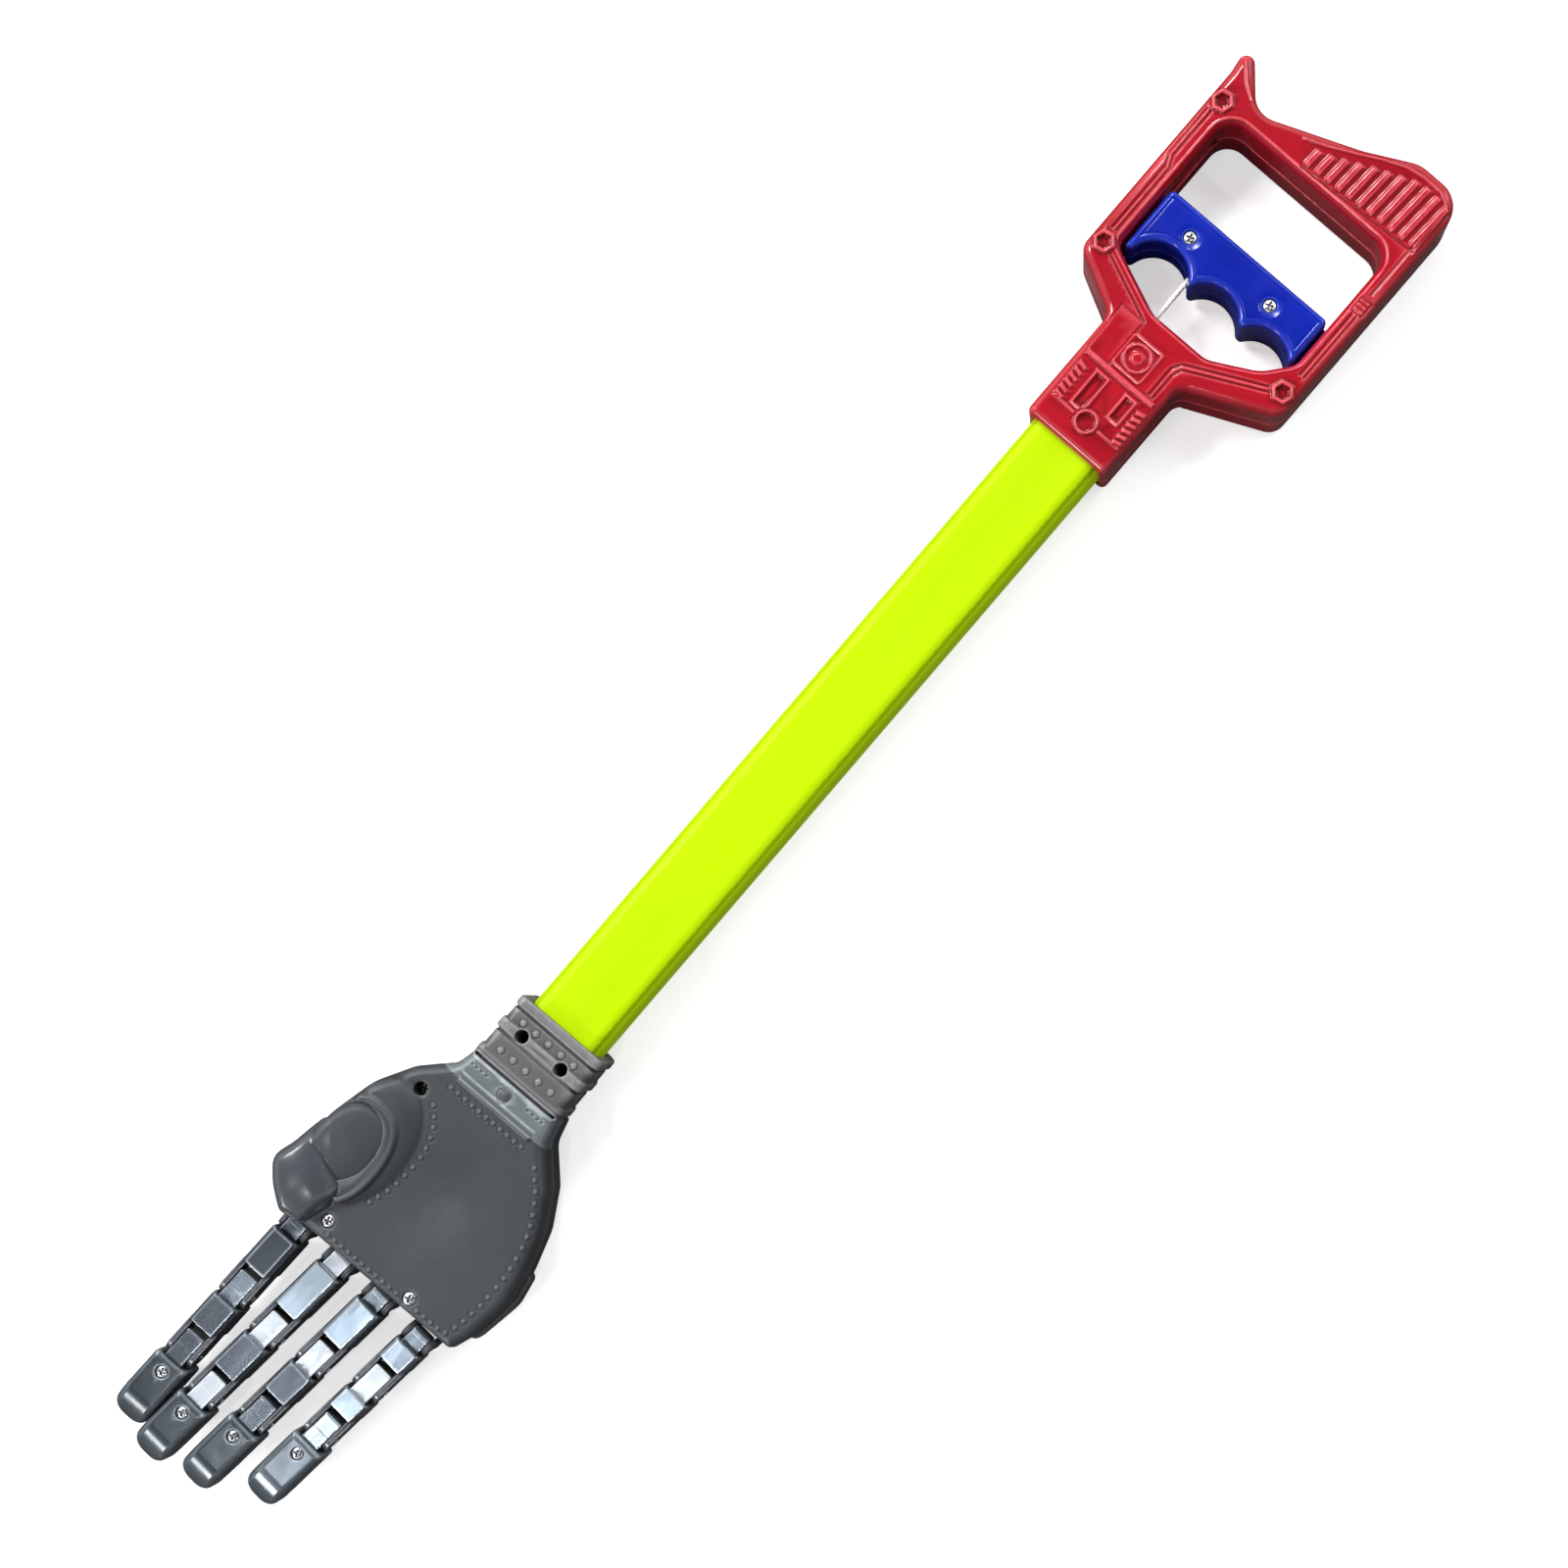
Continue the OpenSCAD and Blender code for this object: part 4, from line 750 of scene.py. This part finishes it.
def palm_back():
    PF, PB = rounded(palm_front_out, 6), rounded(palm_back_out, 6)
    def make(X, Y):
        d, db = poly2(X, Y, PF), poly2(X, Y, PB)
        C = np.zeros(X.shape, f32)
        C += 0.55 * step(box2(X, Y, 94.7, 0, 1.5, 40, 0, 0.4), 0.7)
        C += 0.75 * step(box2(X, Y, 103.2, 0, 1.75, 40, 0, 0.5), 0.7)
        C -= 0.7 * step(np.abs(X - 96.8) - 0.2, 0.6)
        C -= 0.8 * step(np.abs(X - 105.7) - 0.15, 0.6)
        C -= 0.9 * step(np.abs(X - 115.7) - 0.35, 0.6)
        # back of the hand: a border line, and ears at the knuckles
        H = np.zeros(X.shape, f32)
        H -= 0.35 * step(np.abs(db + 5.0) - 0.4, 0.8) * step(118 - X, 2)
        gaps = holes = ears = None
        E = []
        for f in FING.values():
            g, x, y = finger_gap(X, Y, f, 3.7, -9, 4)
            gaps = g if gaps is None else np.minimum(gaps, g)
            E.append((x, np.maximum(3.4 - np.abs(y), np.abs(y) - 5.2)))
        core = np.maximum(d + 2.1, 112 - X)
        keep = np.minimum.reduce([circ2(X, Y, 186, 18, 3.0), circ2(X, Y, 184, -16.2, 3.0), circ2(X, Y, 135, -21, 3.0), circ2(X, Y, 120, 0, 2.8)])
        tabs = np.minimum(poly2(X, Y, rounded(palm_tab_high, 6)), poly2(X, Y, rounded(palm_tab_low, 6)))
        pil = np.minimum.reduce([circ2(X, Y, c[0], c[1], 1.27) for c in PSCREW])
        cp = np.minimum.reduce([circ2(X, Y, c[0], c[1], 1.27) for c in CSCREW])
        def at(z):
            side = np.where(X > 186, np.where(z < -7.4, db, d), np.minimum(d, db))
            f = rint(side, -(z) - (12.5 + H), 3.2)
            fc = rint(np.abs(Y) - (np.where(X < 112, 15.9, 16.6) + C * 0.7), -z - (12.1 + C * 0.5), 5.5)
            fc = np.maximum(fc, 93.0 - X)
            f = np.where(X < 116.2, np.maximum(fc, d - 1.2), f)
            # lugs of the back shell that stand out past the front one
            f = np.minimum(f, rint(tabs, np.full(X.shape, abs(z + 5.6) - 4.0, f32), 1.2))
            f = rint(f, z + 0.02, 0.3)
            cz = np.maximum(np.maximum(core, -10.5 - z), -keep)
            f = np.maximum(f, -cz)
            f = np.maximum(f, -np.maximum(gaps, -4.6 - z))
            for x, y in E:
                e = np.minimum(np.hypot(x, z - ZP) - 3.0, np.maximum(np.maximum(-3 - x, x - 1.4), np.maximum(-8.5 - z, z - ZP - 0.1)))
                e = rint(e, y, 0.35)
                f = np.minimum(f, e)
            for x, y in E:
                f = np.maximum(f, -np.maximum(np.hypot(x, z - ZP) - 1.0, y - 0.5))
            sock = rint(np.abs(Y) - 13.35, -z - 9.85, 4.1)
            sock = np.maximum(sock, X - 110.2)
            f = np.maximum(f, -sock)
            f = np.maximum(f, -np.maximum(np.hypot(Y - CY, z) - 1.5, np.maximum(X - 115, 108 - X)))
            f = np.maximum(f, -np.maximum(pil, -9.6 - z))
            f = np.maximum(f, -np.maximum(cp, -11.6 - z))
            return f
        return at
    return make

def hand_region(C):
    return np.where(C[:, 0] < 116, 1, np.where((C[:, 0] < 124.9) & (C[:, 2] > 0), 2, 0))

solid("palm_front", (92.5, -38.5, 0), (191, 42, 18.5), 0.33, palm_front(), "frame", [GREY, COLLAR, WRIST], ("palm_front_shell",), ratio, pick=hand_region)
solid("palm_back", (92.5, -38.5, -12.6), (198.8, 42, 4.6), 0.36, palm_back(), "frame", [GREY, COLLAR, WRIST], ("palm_back_shell",), ratio, pick=hand_region)

def thumb():
    def make(X, Y):
        plan = thumb_plan(X, Y)
        def at(z):
            a, b = thumb_field(X, Y, z, plan)
            return np.maximum(runi(a, b, 0.6), 8.9 - z)
        return at
    return make
def thumb_part(C):
    """0 end segment, 1 base"""
    return np.where((poly2(C[:, 0], C[:, 1], rounded(thumb_out, 8)) > 0.1) & (C[:, 0] < 176), 1, 0)
solid("thumb_shell", (146, -41.5, 8.5), (191.5, -14.5, 21.8), 0.28, thumb(), "frame", [THUMB, THUMB_BASE_SHADED], ("thumb",), 0.5, pick=thumb_part)

# ------------------------------------------------------------------ fingers
def finger_local(f):
    a = math.radians(f[2])
    return [[math.cos(a), -math.sin(a), 0, f[0]], [math.sin(a), math.cos(a), 0, f[1]], [0, 0, 1, 0], [0, 0, 0, 1]]

W, SW, TW = 10.4, 6.8, 6.5
TOP, BOT = 6.5, -6.5

def block(X, Y, z, x0, x1, w, top, bot, r, re):
    s = rint(np.abs(Y) - w / 2, np.abs(z - (top + bot) / 2) - (top - bot) / 2, r)
    return rint(s, np.maximum(x0 - X, X - x1), re)

def tongue_field(X, Y, z, p, back, x1, top, bot):
    q = np.maximum(p - back - X, X - x1)
    q = rint(q, np.maximum(z - ZP - top, ZP + bot - z), 0.7)
    lower = np.maximum(np.hypot(X - p, z - ZP) - back * 1.22, X - p)
    q = np.where(X < p, np.maximum(q, lower), q)
    return rint(q, np.abs(Y) - TW / 2, 0.35)

def cheek_field(X, Y, z, x0, p, r):
    q = np.minimum(np.hypot(X - p, z - ZP) - r, np.maximum(np.maximum(x0 - 0.5 - X, X - p), np.abs(z - ZP) - r))
    return rint(q, np.maximum(SW / 2 - np.abs(Y), np.abs(Y) - W / 2), 0.35)

def proximal(f):
    p2 = f[4] + 8.2
    def make(X, Y):
        def at(z):
            o = block(X, Y, z, f[3], f[4], W, TOP - 0.1, BOT, 1.7, 0.7)
            pl = block(X, Y, z, f[3] + 0.25, f[4] - 0.25, 8.0, TOP + 0.38, TOP - 3, 0.4, 0.35)
            o = np.minimum(o, pl)
            o = np.minimum(o, tongue_field(X, Y, z, 0, 2.7, f[3] + 1.5, 2.7, -2.7))
            o = np.minimum(o, cheek_field(X, Y, z, f[4] - 1.0, p2, 4.4))
            # groove along each side
            gr = np.maximum(np.hypot(np.abs(Y) - W / 2, z - 0.4) - 0.55, np.maximum(f[3] + 1.6 - X, X - f[4] + 1.4))
            o = np.maximum(o, -gr)
            o = np.maximum(o, -(np.hypot(X, z - ZP) - 1.05))
            o = np.maximum(o, -(np.hypot(X - p2, z - ZP) - 1.02))
            return o
        return at
    return make

def middle(f):
    p2, p3 = f[4] + 8.2, f[6] + 8.2
    def make(X, Y):
        def at(z):
            o = block(X, Y, z, f[5], f[6], W, TOP - 0.1, BOT, 1.7, 0.7)
            pl = block(X, Y, z, f[5] + 0.25, f[6] - 0.25, 8.4, TOP + 0.38, TOP - 3, 0.4, 0.35)
            o = np.minimum(o, pl)
            o = np.minimum(o, tongue_field(X, Y, z, p2, 5.7, f[5] + 1.5, 3.9, -3.9))
            o = np.minimum(o, cheek_field(X, Y, z, f[6] - 1.0, p3, 4.4))
            gr = np.maximum(np.hypot(np.abs(Y) - W / 2, z - 0.4) - 0.55, np.maximum(f[5] + 1.6 - X, X - f[6] + 1.4))
            o = np.maximum(o, -gr)
            o = np.maximum(o, -(np.hypot(X - p2, z - ZP) - 1.05))
            o = np.maximum(o, -(np.hypot(X - p3, z - ZP) - 1.02))
            return o
        return at
    return make

def tip(f):
    p3 = f[6] + 8.2
    w = 12.2
    P = rounded([(f[7], -w / 2, 1.2), (f[8] + 1.3, -w / 2, 4.8), (f[8] + 1.3, w / 2, 4.8), (f[7], w / 2, 1.2)], 8)
    def make(X, Y):
        d = poly2(X, Y, P)
        def at(z):
            # top slopes down towards the nail end
            t = np.clip((X - (f[8] - 9.2)) / 10.5, 0, 1)
            top = (z - 7.2 + 5.0 * t ** 1.8) / np.sqrt(1 + (0.86 * t ** 0.8) ** 2)
            bot = 6.9 - 2.2 * np.clip((X - (f[8] - 10)) / 10, 0, 1) ** 1.35
            o = rint(d, np.maximum(top, -z - bot), 2.2)
            o = rint(o, f[7] - X, 0.6)
            # the joint's tongue, its pin hole, and a counterbored screw hole
            o = np.minimum(o, tongue_field(X, Y, z, p3, 5.7, f[7] + 2.5, 3.9, -3.9))
            o = np.maximum(o, -(np.hypot(X - p3, z - ZP) - 1.05))
            rv = np.hypot(X - f[7] - 4.6, Y)
            o = np.maximum(o, -np.maximum(rv - 1.27, 3 - z))
            o = rint(o, -np.maximum(rv - 2.05, 5.7 - z), 0.25)
            return o
        return at
    return make

def plates(f, a, b, tongue):
    """0 body, 1 top plate, 2 the tongue's top face"""
    def pick(C):
        x, y, z = C.T
        top = (z > 5.9) & (np.abs(y) < 4.35) & (x > a + 0.2) & (x < b - 0.2)
        link = (x < a + 0.1) & (z > tongue) & (np.abs(y) < 3.3)
        return np.where(top, 1, np.where(link, 2, 0))
    return pick
# lit and shaded copies of the plate plastic for each finger's plates and link tongues: painted light
PLATE_SHADING = {"index": (GUN_DEEP_SHADED, GUN_SHADED), "middle": (GUN_LIT, GUN_SHADED), "ring": (GUN_LIT, GUN_SHADED), "little": (GUN_LIT, GUN_LIT)}
LINK_SHADING = {"index": (GUN_SHADED, GUN_HALF_SHADED, GUN_SHADED), "middle": (LINK_LIT, LINK_LIT, LINK_LIT), "ring": (GUN_HALF_SHADED, LINK_LIT, GUN_SHADED), "little": (GUN_HALF_SHADED, LINK_LIT, GUN_LIT)}
for name, f in FING.items():
    M = finger_local(f)
    solid(name + "_phalanx_1", (-3.6, -5.4, -6.7), (f[4] + 13, 5.4, 7.0), 0.24, proximal(f), name + "_proximal", [BODY, PLATE_SHADING[name][0], LINK_SHADING[name][0]], (name + "_proximal",), 0.45, M, pick=plates(f, f[3], f[4], 3.4))
    solid(name + "_phalanx_2", (f[4] + 2, -5.4, -6.7), (f[6] + 13, 5.4, 7.0), 0.24, middle(f), name + "_middle", [BODY, PLATE_SHADING[name][1], LINK_SHADING[name][1]], (name + "_middle",), 0.45, M, pick=plates(f, f[5], f[6], 4.4))
    # the little fingertip's top takes the lit copy of the tip plastic, a painted sheen
    solid(name + "_fingertip", (f[6] + 2, -6.3, -7.1), (f[8] + 1.5, 6.3, 7.3), 0.24, tip(f), name + "_tip", [TIP, TIP_LIT if name == "little" else TIP, LINK_SHADING[name][2]], (name + "_tip",), 0.45, M, pick=plates(f, f[7], f[8], 4.4))

# ------------------------------------------------------------------ screws, cord, hidden pieces
def screw(name, x, y, z_head, z_end, hr, hh, body, node, up=True, size=0.12, mat=None, plain=False):
    """domed head with a cross recess on z_head, shank to z_end; up: the head faces +Z"""
    sg = 1 if up else -1
    L = abs(z_head - z_end)
    def make(X, Y):
        r = np.hypot(X, Y)
        cross = np.minimum(box2(X, Y, 0, 0, hr * 0.62, 0.3, 20), box2(X, Y, 0, 0, 0.3, hr * 0.62, 20))
        def at(z):
            dome = np.sqrt(r * r + (z + hr * 1.35) ** 2) - math.hypot(hr * 1.35 + hh, 0)
            head = rint(r - hr, np.maximum(dome, -z), 0.12)
            thread = 0.14 * abs(((z * 1.4) % 1.0) * 2 - 1)
            shank = np.maximum(r - 1.08 - thread, np.maximum(z - 0.1, -L - z))
            f = np.minimum(head, shank)
            dep = hh * 0.75
            return f if plain else rint(f, -np.maximum(cross + 0.25 * (hh - z) * 0.3, hh - dep - z), 0.08)
        return at
    M = [[1, 0, 0, x], [0, sg, 0, y], [0, 0, sg, z_head], [0, 0, 0, 1]]
    return solid(name, (-hr, -hr, -L), (hr, hr, hh), size, make, body, mat or STEEL, (node,) if node else (), 0.45, M, curv=0.3)

for i, p in enumerate(HSCREW):
    screw(f"handle_screw_{i + 1}", p[0], p[1], -9.9, 8, 2.5, 1.7, "frame", "handle_screws", up=False, size=0.2)
for i, p in enumerate(TSCREW):
    screw(f"trigger_screw_{i + 1}", p[0], p[1], 8.2, -6.5, 2.1, 1.2, "trigger", "trigger_screws", size=0.17)
for i, (p, zh, ze, hr, hh) in enumerate([((186, 18), 10.3, -9, 2.1, 1.3), ((184, -16.2), 10.3, -9, 2.1, 1.3), ((135, -21), 5, -9, 2.1, 1.5), ((120, 0), 10.9, -9, 1.8, 1.2)]):
    # the wrist screw is capped by a plain stud in the hand's own grey
    screw(f"palm_screw_{i + 1}", p[0], p[1], zh, ze, hr, hh, "frame", "palm_screws", size=0.17, mat=GREY if i == 3 else None, plain=i == 3)
for i, p in enumerate(CSCREW):
    screw(f"collar_screw_{i + 1}", p[0], p[1], -8.09, -11.4, 2.0, 1.5, "frame", "collar_screws", size=0.17, mat=BODY)
for name, f in FING.items():
    a = math.radians(f[2])
    s = f[7] + 4.6
    screw(name + "_screw", f[0] + s * math.cos(a), f[1] + s * math.sin(a), 5.7, 3.2, 1.9, 1.3, name + "_tip", name + "_tip_screw", size=0.14)

def cord():
    """two-ply twisted cord from the trigger to the slider"""
    verts, faces = [], []
    n = 14
    xs = np.concatenate([np.arange(-213, -186, 0.35), np.arange(-186, 150.1, 3.0)])
    rings = []
    for x in xs:
        base = len(verts)
        ph = x * 1.9
        for k in range(n):
            w = 2 * math.pi * k / n
            r = 0.83 + 0.07 * math.cos(2 * (w - ph)) if x < -186 else 0.86
            verts.append((x * MM, (CY + r * math.cos(w) + YS) * MM, (r * math.sin(w) + ZS) * MM))
        rings.append(base)
    for a, b in zip(rings, rings[1:]):
        for k in range(n):
            j = (k + 1) % n
            faces.append((a + k, a + j, b + j, b + k))
    faces.append(tuple(rings[0] + k for k in reversed(range(n))))
    faces.append(tuple(rings[-1] + k for k in range(n)))
    me = bpy.data.meshes.new("pull_cord_ply")
    me.from_pydata(verts, [], faces)
    bm = bmesh.new()
    bm.from_mesh(me)
    bmesh.ops.recalc_face_normals(bm, faces=bm.faces)
    bm.to_mesh(me)
    bm.free()
    for p in me.polygons:
        p.use_smooth = len(p.vertices) == 4
    me.materials.append(CORD)
    ob = bpy.data.objects.new("pull_cord_ply", me)
    bpy.context.collection.objects.link(ob)
    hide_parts("pull_cord")
    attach(ob, "trigger")
cord()

def coil():
    """compression spring between the wrist wall and the slider"""
    turns, ring, wire, x0, x1, R0 = 12, 22, 10, 116.55, 147.4, 2.8
    n = turns * ring
    verts, faces = [], []
    for i in range(n + 1):
        t = i / n
        # pitch a little tighter towards the first and last turn
        s = t + 0.045 * math.sin(2 * math.pi * t) * -1.0
        ds = 1 - 0.045 * 2 * math.pi * math.cos(2 * math.pi * t)
        w = 2 * math.pi * turns * t
        tang = Vector(((x1 - x0) * ds, -R0 * 2 * math.pi * turns * math.sin(w), R0 * 2 * math.pi * turns * math.cos(w))).normalized()
        out = Vector((0, math.cos(w), math.sin(w)))
        side = tang.cross(out).normalized()
        c = Vector((x0 + (x1 - x0) * s, CY + R0 * math.cos(w) + YS, R0 * math.sin(w) + ZS))
        for k in range(wire):
            b = 2 * math.pi * k / wire
            verts.append(tuple((c + out * (0.35 * math.cos(b)) + side * (0.35 * math.sin(b))) * MM))
    for i in range(n):
        for k in range(wire):
            j = (k + 1) % wire
            faces.append((i * wire + k, i * wire + j, (i + 1) * wire + j, (i + 1) * wire + k))
    faces.append(tuple(reversed(range(wire))))
    faces.append(tuple(n * wire + k for k in range(wire)))
    me = bpy.data.meshes.new("return_coil")
    me.from_pydata(verts, [], faces)
    bm = bmesh.new()
    bm.from_mesh(me)
    bmesh.ops.recalc_face_normals(bm, faces=bm.faces)
    bm.to_mesh(me)
    bm.free()
    for p in me.polygons:
        p.use_smooth = len(p.vertices) == 4
    me.materials.append(STEEL)
    ob = bpy.data.objects.new("return_coil", me)
    bpy.context.collection.objects.link(ob)
    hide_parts("return_spring")
    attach(ob, "frame")
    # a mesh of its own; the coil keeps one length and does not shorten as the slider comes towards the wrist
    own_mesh(ob)
coil()

def dress(node, mat, bevel=0.0):
    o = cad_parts[node]
    o.data.materials.clear()
    o.data.materials.append(mat)
    if bevel:
        m = o.modifiers.new("edge", "BEVEL")
        m.width = bevel * MM
        m.segments = 2
        m.limit_method = "ANGLE"
        m.angle_limit = math.radians(40)
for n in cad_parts:
    if n.endswith("_pin") or n == "knuckle_pins":
        dress(n, STEEL, 0.15)
    elif n == "finger_cords":
        dress(n, CORD)
    elif n == "cord_slider":
        dress(n, NATURAL, 0.3)

# ------------------------------------------------------------------ studio
def mat_floor():
    m = bpy.data.materials.new("floor")
    m.use_nodes = True
    N, K = m.node_tree.nodes, m.node_tree.links
    b = N["Principled BSDF"]
    n = N.new("ShaderNodeTexNoise")
    n.inputs["Scale"].default_value = 3
    r = N.new("ShaderNodeMix")
    r.data_type = "RGBA"
    r.inputs["A"].default_value, r.inputs["B"].default_value = (0.72, 0.72, 0.72, 1), (0.76, 0.76, 0.76, 1)
    K.new(n.outputs["Fac"], r.inputs["Factor"])
    K.new(r.outputs["Result"], b.inputs["Base Color"])
    b.inputs["Roughness"].default_value = 0.8
    b.inputs["Specular IOR Level"].default_value = 0.1
    b.inputs["Emission Color"].default_value = (1, 1, 1, 1)
    b.inputs["Emission Strength"].default_value = 0.55
    dim = N.new("ShaderNodeBsdfDiffuse")
    dim.inputs["Color"].default_value = (0.1, 0.1, 0.1, 1)
    path, mix = N.new("ShaderNodeLightPath"), N.new("ShaderNodeMixShader")
    K.new(path.outputs["Is Camera Ray"], mix.inputs["Fac"])
    K.new(dim.outputs["BSDF"], mix.inputs[1])
    K.new(b.outputs["BSDF"], mix.inputs[2])
    K.new(mix.outputs["Shader"], N["Material Output"].inputs["Surface"])
    return m
me = bpy.data.meshes.new("floor")
S = 6.0
me.from_pydata([(-S, -S, -0.0006), (S, -S, -0.0006), (S, S, -0.0006), (-S, S, -0.0006)], [], [(0, 1, 2, 3)])
me.materials.append(mat_floor())
floor = bpy.data.objects.new("floor", me)
bpy.context.collection.objects.link(floor)

world = bpy.data.worlds.new("studio")
bpy.context.scene.world = world
world.use_nodes = True
# bright at the sides, dimmer overhead, so flat faces keep their colour and round edges catch the light
wn, wk = world.node_tree.nodes, world.node_tree.links
geo = wn.new("ShaderNodeTexCoord")
sep = wn.new("ShaderNodeSeparateXYZ")
wk.new(geo.outputs["Generated"], sep.inputs["Vector"])
ramp = wn.new("ShaderNodeMapRange")
ramp.interpolation_type = "SMOOTHSTEP"
ramp.inputs["From Min"].default_value, ramp.inputs["From Max"].default_value = 0.62, 0.9
ramp.inputs["To Min"].default_value, ramp.inputs["To Max"].default_value = 1.15, 0.1
wk.new(sep.outputs["Z"], ramp.inputs["Value"])
lean = wn.new("ShaderNodeVectorMath")
lean.operation = "DOT_PRODUCT"
lean.inputs[1].default_value = (-0.28, -0.5, 0.0)
wk.new(geo.outputs["Generated"], lean.inputs[0])
lift = wn.new("ShaderNodeMath")
lift.operation = "ADD"
lift.inputs[1].default_value = 0.8
wk.new(lean.outputs["Value"], lift.inputs[0])
both = wn.new("ShaderNodeMath")
both.operation = "MULTIPLY"
wk.new(ramp.outputs["Result"], both.inputs[0])
wk.new(lift.outputs["Value"], both.inputs[1])
wk.new(both.outputs["Value"], wn["Background"].inputs["Strength"])
seen, plain, pick_bg = wn.new("ShaderNodeLightPath"), wn.new("ShaderNodeBackground"), wn.new("ShaderNodeMixShader")
plain.inputs["Color"].default_value = (0.94, 0.94, 0.94, 1)
wk.new(seen.outputs["Is Camera Ray"], pick_bg.inputs["Fac"])
wk.new(wn["Background"].outputs["Background"], pick_bg.inputs[1])
wk.new(plain.outputs["Background"], pick_bg.inputs[2])
wk.new(pick_bg.outputs["Shader"], wn["World Output"].inputs["Surface"])
wn["Background"].inputs["Color"].default_value = (1, 1, 1, 1)

def area(name, loc, target, size, power, size_y=None, color=(1, 1, 1)):
    d = bpy.data.lights.new(name, "AREA")
    d.energy = power
    d.size = size
    if size_y:
        d.shape = "RECTANGLE"
        d.size_y = size_y
    d.color = color
    o = bpy.data.objects.new(name, d)
    bpy.context.collection.objects.link(o)
    o.location = loc
    v = Vector(target) - Vector(loc)
    o.rotation_mode = "QUATERNION"
    o.rotation_quaternion = v.to_track_quat("-Z", "Y")
    return o
area("key", (0.05, -0.9, 1.1), (0.0, 0, 0), 0.4, 14.3)
area("fill", (-1.0, 0.3, 0.9), (-0.1, 0, 0), 0.5, 4)
# narrow strips that the finger plates mirror to the camera
area("plate_strip", (0.535, -0.15, 1.1), (0.205, 0, 0), 0.10, 0.24, 0.16)
area("tip_strip", (0.65, -0.12, 1.1), (0.25, 0, 0), 0.07, 0.3, 0.06)
# low light beyond the fingertips, and one over the grip for its ribs
area("tip_rim", (1.05, -0.12, 0.50), (0.25, 0, 0.02), 0.22, 3.8, 0.16)
area("grip_strip", (-0.66, -0.60, 0.9), (-0.26, 0, 0.02), 0.16, 7.5, 0.4)

area("thumb_spot", (0.59, 0.27, 1.1), (0.18, -0.025, 0.02), 0.05, 1.5)

cam_d = bpy.data.cameras.new("camera")
cam = bpy.data.objects.new("camera", cam_d)
bpy.context.collection.objects.link(cam)
cam_d.sensor_width = 36
cam_d.lens = 54.69
cam_d.clip_start, cam_d.clip_end = 0.01, 50
# straight down on the object, with the lens shifted to centre it as in the photo
eye = Vector((-0.0146, 0.115 + YS * MM, 0.737 + ZS * MM))
right = Vector((-0.65064, 0.75939, 0.0))
up = Vector((-0.75939, -0.65064, 0.0))
R = Matrix((right, up, Vector((0, 0, 1)))).transposed().to_4x4()
cam.matrix_world = Matrix.Translation(eye) @ R
bpy.context.scene.camera = cam
cam_d.shift_x, cam_d.shift_y = -0.1883, 0.1416
# away from this eye point the shift goes back to nothing
mark = bpy.data.objects.new("eye_point", None)
bpy.context.collection.objects.link(mark)
mark.location = eye
for prop, amount in (("shift_x", -0.1883), ("shift_y", 0.1416)):
    fc = cam_d.driver_add(prop)
    fc.driver.type = "AVERAGE"
    v = fc.driver.variables.new()
    v.type = "LOC_DIFF"
    v.targets[0].id, v.targets[1].id = cam, mark
    for m in list(fc.modifiers):
        fc.modifiers.remove(m)
    for x, y in ((0.0, amount), (0.03, amount), (0.06, 0.0), (1.0, 0.0)):
        fc.keyframe_points.insert(x, y).interpolation = "LINEAR"
    fc.extrapolation = "CONSTANT"
hide = floor.driver_add("hide_render")
hide.driver.type = "AVERAGE"
v = hide.driver.variables.new()
v.type = "TRANSFORMS"
v.targets[0].id = cam
v.targets[0].transform_type, v.targets[0].transform_space = "LOC_Z", "WORLD_SPACE"
for m in list(hide.modifiers):
    hide.modifiers.remove(m)
for x, y in ((-1.0, 1.0), (-0.03, 1.0), (0.0, 0.0), (1.0, 0.0)):
    hide.keyframe_points.insert(x, y).interpolation = "LINEAR"
hide.extrapolation = "CONSTANT"
bpy.context.scene.view_settings.view_transform = "Standard"
